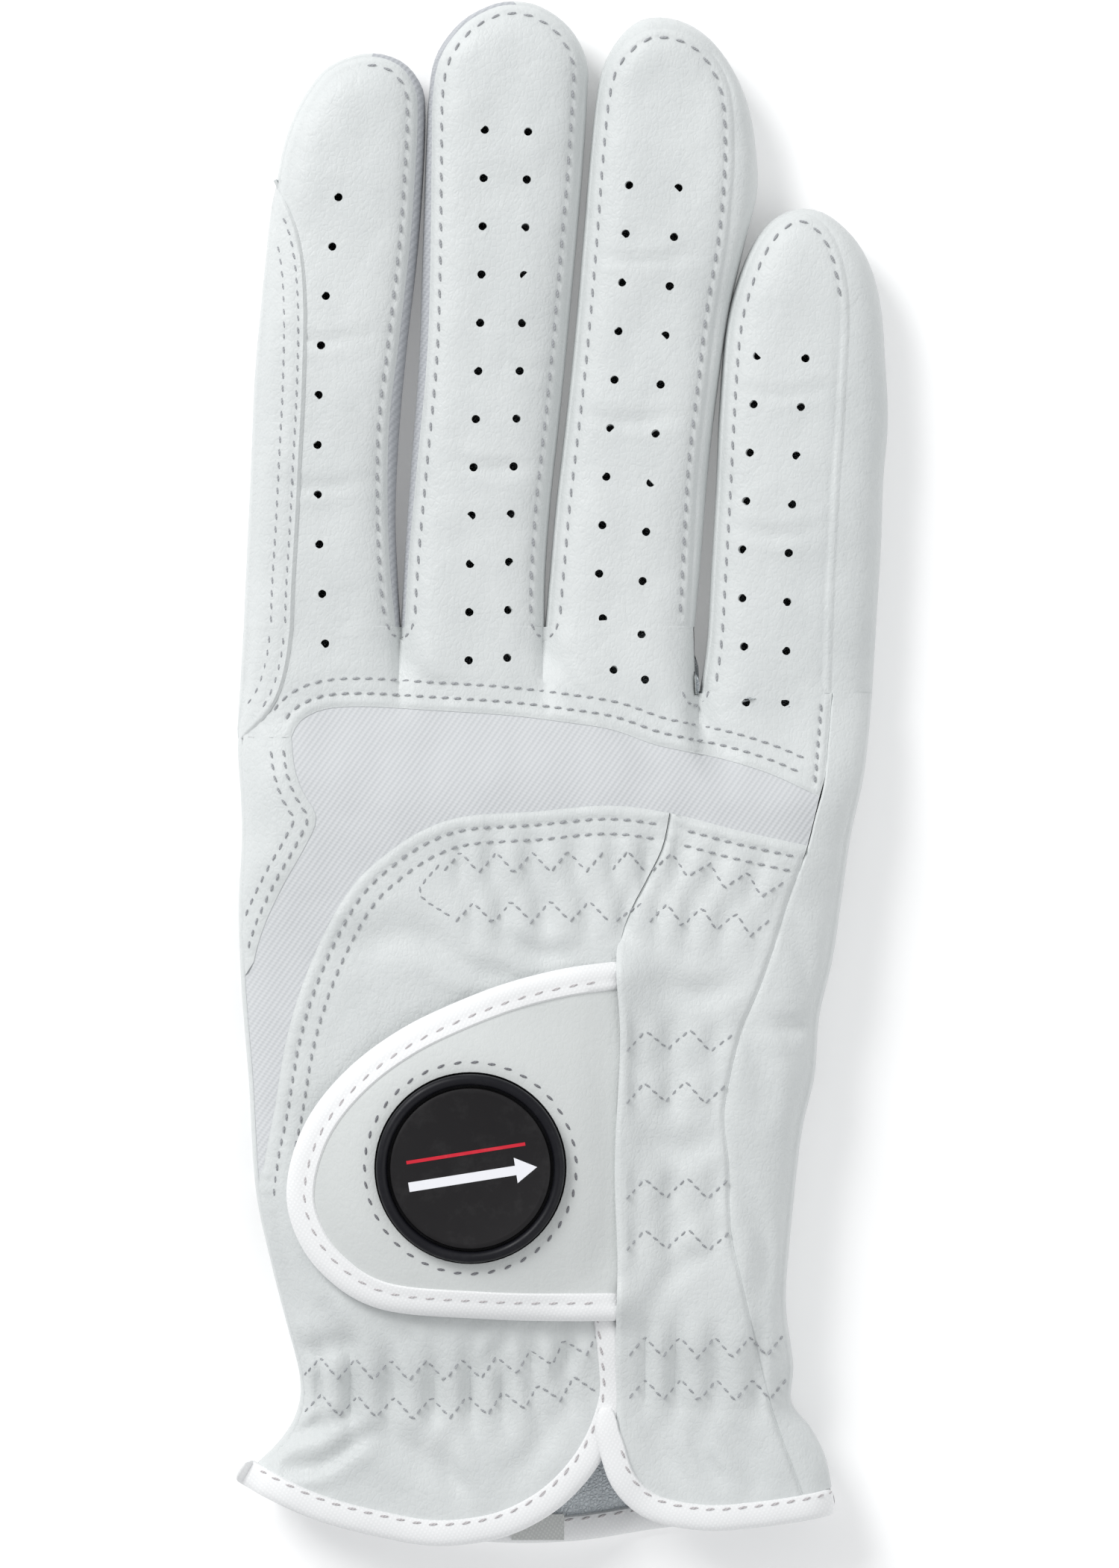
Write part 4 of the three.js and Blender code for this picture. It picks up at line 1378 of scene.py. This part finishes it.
back_tape_line = respaced(np.vstack([back_hem, [[-47.6, -103.4]]]), 1.2)[::-1]
outer_tape_line = respaced(np.vstack([[[7.6, -94.6]], [[7.9, -98.4]], outer_hem]), 1.2)
palm_tape_line = respaced(palm_hem, 1.4)
tape_rows = []
for node, line, surface in (
    ("cuff_binding_back", back_tape_line, back_surface),
    ("cuff_binding_outer", outer_tape_line, outer_surface),
    ("cuff_binding_palm", palm_tape_line, palm_hem_surface),
):
    thin_start = 6 if node == "cuff_binding_outer" else END_ROUND
    tape = taped(node + "_tape", line, mirrored(HEM_TAPE), surface, thin_start=thin_start)
    sewn(node, tape)
    row = np.column_stack([sideways(line, 0.35), surface(*line.T) + 0.55])
    tape_rows.append(row[lengths(line) > thin_start])
body(pick(stitches("cuff_binding_stitches", tape_rows, "tape_thread")), "hand")


def label_surface(x, y):
    return palm_surface(x, y) + 2.3


LABEL = np.array([[-7.4, -112], [0.5, -112], [0.5, -115.9], [-7.4, -115.9]])
label = panel("woven_size_label", ring(LABEL), label_surface, "label", thickness=0.4, rings=FEW_RINGS,
              edge_fall=0)
sewn("size_label", label)


def under_back(x, y):
    return back_surface(x, y) - 1.25


ELASTICS = {
    "knuckle_elastic": [[-18, -12.8], [15, -12.8], [31, -16.4], [29, -23.6], [8.6, -21.2], [-18, -21]],
    "closure_elastic_upper": [[11, -38.6], [24.2, -38.6], [22.8, -49], [11, -49]],
    "closure_elastic_lower": [[11, -60.6], [23, -60.6], [23, -71], [11, -71]],
    "wrist_elastic_thumb_side": [[-33, -88.2], [3.6, -86.4], [2.6, -93.4], [-33, -95.2]],
    "wrist_elastic_outer_side": [[11, -85.2], [28.6, -85.2], [30.6, -92.8], [11, -92.8]],
}
for node, corners in ELASTICS.items():
    outline = respaced(np.array(corners + corners[:1], float), 2)[:-1]
    tape = panel(node + "_tape", ring(outline), under_back, "elastic", thickness=0.5, cell=2,
                 rings=FEW_RINGS)
    sewn(node, tape)

# ---------------------------------------------------------------- seams and zigzags of the back


def inside_hand(row):
    """The points of a row that aren't too near the silhouette to be sewn."""
    return row[hand_depth(*row.T) > 0.9]


under_insert = insert_bottom[(insert_bottom[:, 0] < 15.6) & (insert_bottom[:, 1] > -64)]
beyond_insert = insert_bottom[(insert_bottom[:, 0] > 18.4) & (insert_bottom[:, 0] < 36)]
wedge_edge = between(insert_thumb_side, -27, 5)
knuckle_rows = [sideways(insert_top[1:-3], row) for row in DOUBLE_ROWS]
knuckle_rows += [sideways(under_insert, -row) for row in DOUBLE_ROWS]
knuckle_rows += [inside_hand(sideways(wedge_edge, -row)) for row in CLOSE_ROWS]
for crotch, knuckle in zip(CROTCHES, (KNUCKLE_Y, KNUCKLE_Y, LITTLE_KNUCKLE_Y)):
    turn = [[-2.1, 0.8], [-1.4, -0.9], [0, -1.7], [1.4, -0.9], [2.1, 0.8]]
    knuckle_rows.append(spline([[crotch + x, knuckle + y] for x, y in turn], 0.6))
knuckle_rows += [sideways(between(outer_seam, -2, 11.8), -SINGLE_ROW)]
back_rows = [on(back_surface, row) for row in knuckle_rows]
hand_stitches = stitches("hand_stitches", back_rows, pitch=DOUBLE_PITCH, size=DOUBLE_STITCH)
body(pick(hand_stitches), "hand")
outer_rows = [on(outer_surface, sideways(beyond_insert, -row)) for row in DOUBLE_ROWS]
outer_stitches = stitches("outer_side_stitches", outer_rows, pitch=DOUBLE_PITCH, size=DOUBLE_STITCH)
body(pick(outer_stitches), "hand")


def strip_rows(inner, low, highs):
    """Two rows beside a strip's inner edge, each from the same y up to its own."""
    rows = [inside_hand(sideways(inner, offset)) for offset in (1.3, 3.4)]
    return [on(back_surface, between(row, low, high), 0.38) for row, high in zip(rows, highs)]


index_rows = strip_rows(side_edge, 22, (84.3, 80))
index_stitches = stitches("index_side_strip_stitches", index_rows, pitch=DOUBLE_PITCH, size=DOUBLE_STITCH)
pick(index_stitches)
across_joint(index_stitches)
end_rows = strip_rows(strip_end, 9.5, (21.4, 21.4))
end_stitches = stitches("knuckle_side_strip_stitches", end_rows, pitch=DOUBLE_PITCH, size=DOUBLE_STITCH)
body(pick(end_stitches), "hand")

zigzag_rows = []
for number, (points, period, _, _) in enumerate(GATHERS):
    line = spline(points, 1)
    left, right = line[line[:, 0] < 7.4], line[line[:, 0] >= 9.2]
    if len(left) > 6:
        zigzag_rows.append(zigzag(left, back_surface, period))
    if number < 2:
        right = line[line[:, 0] >= 12.8]
        under_fold = line[(line[:, 0] >= 7.4) & (line[:, 0] < 12.8)]
        zigzag_rows.append(zigzag(under_fold, back_surface, period))
    if len(right) > 6:
        zigzag_rows.append(zigzag(right, outer_surface, period))
zigzag_rows.append(on(back_surface, spline([[-18, -13.4], [-21, -17.8], [-16.4, -21.4]], 0.5)))
zigzags = stitches("elastic_zigzags", zigzag_rows, pitch=1.5, size=(0.5, 0.16, 0.15))
body(pick(zigzags), "hand")

# ---------------------------------------------------------------- closure tab and ball marker

tab_edge = spline(TAB_EDGE, 1.2)
HOLDER_RADIUS = 14.0
HOLDER_BASE = 18.5
HOLDER_TOP = 22.35
DISC_RADIUS = 11.95
TAB_ABOVE = 2.5  # height of the tab's face, lining, hook and loop above the back of the hand
LINING_ABOVE = 1.95
HOOK_ABOVE = 1.75
LOOP_ABOVE = 0.85
HOLDER_RISE = 2.35  # how much higher the tab's face is round the holder


def calm_back(x, y):
    """The back of the hand without its gathers and creases."""
    middle = hand_middle(x, y)
    return middle + (hand_top(x, y) - middle) * rounded(hand_depth(x, y), BACK_SHOULDER)


def tab_surface(x, y):
    """The tab bears on the wrist panel at its edges and rises round the marker's holder."""
    around = np.hypot(x - MARKER[0], y - MARKER[1])
    raise_up = HOLDER_RISE * (1 - smooth_step(around, 14.5, 26))
    toward_root = 0.9 * smooth_step(x, 2, 9)
    wave = 0.15 * np.sin(x / 9 + 1) * np.cos(y / 13)
    return calm_back(x, y) + TAB_ABOVE + raise_up - toward_root + wave


def lining_surface(x, y):
    """The tab's lining, which passes under the marker's holder."""
    around = np.hypot(x - MARKER[0], y - MARKER[1])
    raise_up = 0.6 * (1 - smooth_step(around, 17, 24))
    return calm_back(x, y) + LINING_ABOVE + raise_up - 0.95 * smooth_step(x, 2, 9)


tab_inner = sideways(tab_edge, 3.5)
tab_leather = panel("tab_face_leather", ring(tab_inner), tab_surface, ["tab_leather", "lining"],
                    rings=FEW_RINGS, cell=1.2)
bm = bmesh.new()
bmesh.ops.create_cone(bm, cap_ends=True, segments=72, radius1=HOLDER_RADIUS + 0.25,
                      radius2=HOLDER_RADIUS + 0.25, depth=12, matrix=Matrix.Translation((*MARKER, 20)))
cut_with(tab_leather, bm)
sewn("tab_top", tab_leather, "closure_tab")
tab_tape = taped("tab_binding_tape", tab_edge, mirrored(TAB_TAPE), tab_surface, follow=True)
sewn("tab_binding", tab_tape, "closure_tab")
tab_lining = panel("tab_lining_cloth", ring(sideways(tab_edge, 3.0)), lining_surface, "lining",
                   thickness=0.4, cell=2, rings=FEW_RINGS)
sewn("tab_lining", tab_lining, "closure_tab")
HOOK = [[-35, -71], [-35, -52], [-25, -43.6], [-9, -38.6], [-2, -40], [-2, -73], [-9, -74],
        [-30, -74.4], [-35, -71]]
hook_outline = respaced(np.array(HOOK, float), 2)[:-1]
hook = panel("hook_tape", ring(hook_outline), lambda x, y: calm_back(x, y) + HOOK_ABOVE, "hook",
             thickness=0.5, cell=2, rings=FEW_RINGS)
sewn("hook_patch", hook, "closure_tab")
LOOP = [[-33, -75], [-33, -49], [-22, -42], [-1, -36], [-1, -75], [-33, -75]]
loop_outline = respaced(np.array(LOOP, float), 2)[:-1]
loop = panel("loop_pile", ring(loop_outline), lambda x, y: calm_back(x, y) + LOOP_ABOVE, "loop",
             thickness=0.6, cell=1.8, rings=FEW_RINGS)
sewn("loop_patch", loop)

tongue_rows = []
for x, drop in ((6.0, 0.7), (7.2, 0.75), (8.4, 0.9), (9.6, 1.2), (10.6, 1.6), (11.6, 2.0)):
    across = np.array([[x, y] for y in np.linspace(-33, -77, 24)])
    tongue_rows.append(on(tab_surface, across, -drop))
tongue = strip("tab_root_tongue", tongue_rows, ["tab_leather", "lining"], 0.8)
pick(tongue)
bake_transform(tongue)

MARKER_ROW_RADIUS = 15.7
marker_row = np.array([
    [MARKER[0] + MARKER_ROW_RADIUS * math.cos(a), MARKER[1] + MARKER_ROW_RADIUS * math.sin(a)]
    for a in np.linspace(0, 2 * math.pi, 120)
])
edge_row = sideways(tab_edge, 2.75)
edge_row = edge_row[edge_row[:, 0] < 6.6]
dark = stitches("marker_ring_stitches", [on(tab_surface, marker_row, 0.02)], "dark_thread", 2.5,
                (0.62, 0.2, 0.18))
body(pick(dark), "closure_tab")
pale = stitches("tab_binding_stitches", [on(tab_surface, edge_row, 0.36)], "tape_thread", 2.6)
body(pick(pale), "closure_tab")


TURNED_SHARP = math.radians(35)


def turned(name, profile, finish_name, segments=96):
    """A piece spun about the marker's axis from its profile, given as radius and height."""
    bm = bmesh.new()
    verts = [bm.verts.new((r, 0, z)) for r, z in profile]
    edges = [bm.edges.new(pair) for pair in zip(verts, verts[1:])]
    bmesh.ops.spin(bm, geom=verts + edges, cent=(0, 0, 0), axis=(0, 0, 1), angle=2 * math.pi,
                   steps=segments, use_merge=True)
    bmesh.ops.remove_doubles(bm, verts=bm.verts, dist=0.0005)
    bmesh.ops.translate(bm, verts=bm.verts, vec=(*MARKER, 0))
    bmesh.ops.recalc_face_normals(bm, faces=bm.faces)
    return finished(name, bm, finish_name, sharp=TURNED_SHARP)


base, top_z = HOLDER_BASE, HOLDER_TOP
holder = turned(
    "marker_holder_rubber",
    [(0, base + 0.05), (16.7, base + 0.05), (16.95, base + 0.3), (16.7, base + 0.6),
     (HOLDER_RADIUS, base + 0.65), (13.95, top_z - 0.75), (13.88, top_z - 0.4),
     (13.65, top_z - 0.15), (13.3, top_z), (12.95, top_z - 0.02), (12.62, top_z - 0.2),
     (12.42, top_z - 0.5), (12.35, top_z - 0.95), (12.35, base + 1.4), (5.4, base + 1.4),
     (5.35, base + 0.3), (0, base + 0.3)],
    "rubber",
)
sewn("marker_holder", holder, "closure_tab")
magnet = turned(
    "holder_magnet",
    [(0, base + 0.62), (4.8, base + 0.62), (5.0, base + 0.75), (5.0, base + 1.15), (4.85, base + 1.3),
     (0, base + 1.3)],
    "steel", 48,
)
sewn("marker_magnet", magnet, "closure_tab")
disc_base, disc_top = base + 1.72, base + 3.28
disc = turned(
    "ball_marker_disc",
    [(0, disc_base), (11.6, disc_base), (11.85, disc_base + 0.2), (DISC_RADIUS, disc_base + 0.45),
     (DISC_RADIUS, disc_top - 0.35), (11.82, disc_top - 0.1), (11.5, disc_top), (11.1, disc_top - 0.03),
     (10.9, disc_top - 0.1), (0, disc_top - 0.1)],
    "enamel", 128,
)
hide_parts("marker_disc")
pick(disc)
body(disc, "ball_marker")


INLAY_HEIGHT = 0.07


def inlay(name, outline, finish_name):
    """A thin enamel shape on the disc, from corners about its centre."""
    bm = bmesh.new()
    face = bm.faces.new([bm.verts.new((x, y, 0)) for x, y in outline])
    grown = bmesh.ops.extrude_face_region(bm, geom=[face])
    raised_verts = [g for g in grown["geom"] if isinstance(g, bmesh.types.BMVert)]
    bmesh.ops.translate(bm, verts=raised_verts, vec=(0, 0, INLAY_HEIGHT))
    bmesh.ops.recalc_face_normals(bm, faces=bm.faces)
    bmesh.ops.rotate(bm, verts=bm.verts, cent=(0, 0, 0), matrix=Matrix.Rotation(MARKER_TILT, 3, "Z"))
    bmesh.ops.translate(bm, verts=bm.verts, vec=(*MARKER, disc_top - 0.12))
    piece = finished(name, bm, finish_name, sharp=math.radians(30))
    body(pick(piece), "ball_marker")


ARROW = [[-9.4, -2.0], [6.6, -2.0], [6.6, -3.2], [9.8, -1.3], [6.6, 0.6], [6.6, -0.6], [-9.4, -0.6]]
inlay("marker_bar", ARROW, "white_enamel")
inlay("marker_line", [[-9.2, 2.1], [8.6, 2.1], [8.6, 2.6], [-9.2, 2.6]], "red_enamel")

# ---------------------------------------------------------------- thumb


def thumb_waist(x, y):
    return np.full(np.shape(x), THUMB_HEIGHT / 2)


def thumb_parts():
    edge = spline(THUMB["silhouette"])
    inner = sideways(edge, -1.0)
    hems = [(inner, (SINGLE_ROW,))]
    back = panel("thumb_back_leather", ring(inner), thumb_top, BOTH, cell=1.8, hems=hems)
    front = panel("thumb_front_leather", ring(inner), thumb_floor, BOTH, cell=1.8, down=True, hems=hems)
    sewn("thumb_back", back, "thumb")
    sewn("thumb_front", front, "thumb")
    tip = int(np.argmax(edge[:, 0]))
    for half, node in zip((slice(None, tip + 1), slice(tip, None)), THUMB["sides"]):
        lines = (inner[half], edge[half], inner[half])
        wall = side_wall(node + "_leather", lines, thumb_top, thumb_floor, thumb_waist)
        sewn(node, wall, "thumb")
    row = sideways(inner, -SINGLE_ROW)[2:-2]
    seams = stitches("thumb_stitches", [on(thumb_top, row), on(thumb_floor, row)], "pale_thread")
    body(pick(seams), "thumb")
    line = between(sideways(thumb_side, 0.3), -63, -29.4)[::-1]
    ends = np.sin(np.linspace(0.12, math.pi - 0.12, len(line)))
    rows = []
    for inward, z in ((1.6, 9.2), (0.7, 8.6), (0.25, 7.4), (0.1, 6.0), (0.3, 4.4), (0.8, 3.4), (1.7, 3.1)):
        row = sideways(line, -inward * ends)
        rows.append(np.column_stack([row, mix(6.2, z, ends)]))
    gusset = strip("thumb_root_gusset", rows, BOTH, 0.6)
    pick(gusset)
    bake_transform(gusset)


thumb_parts()
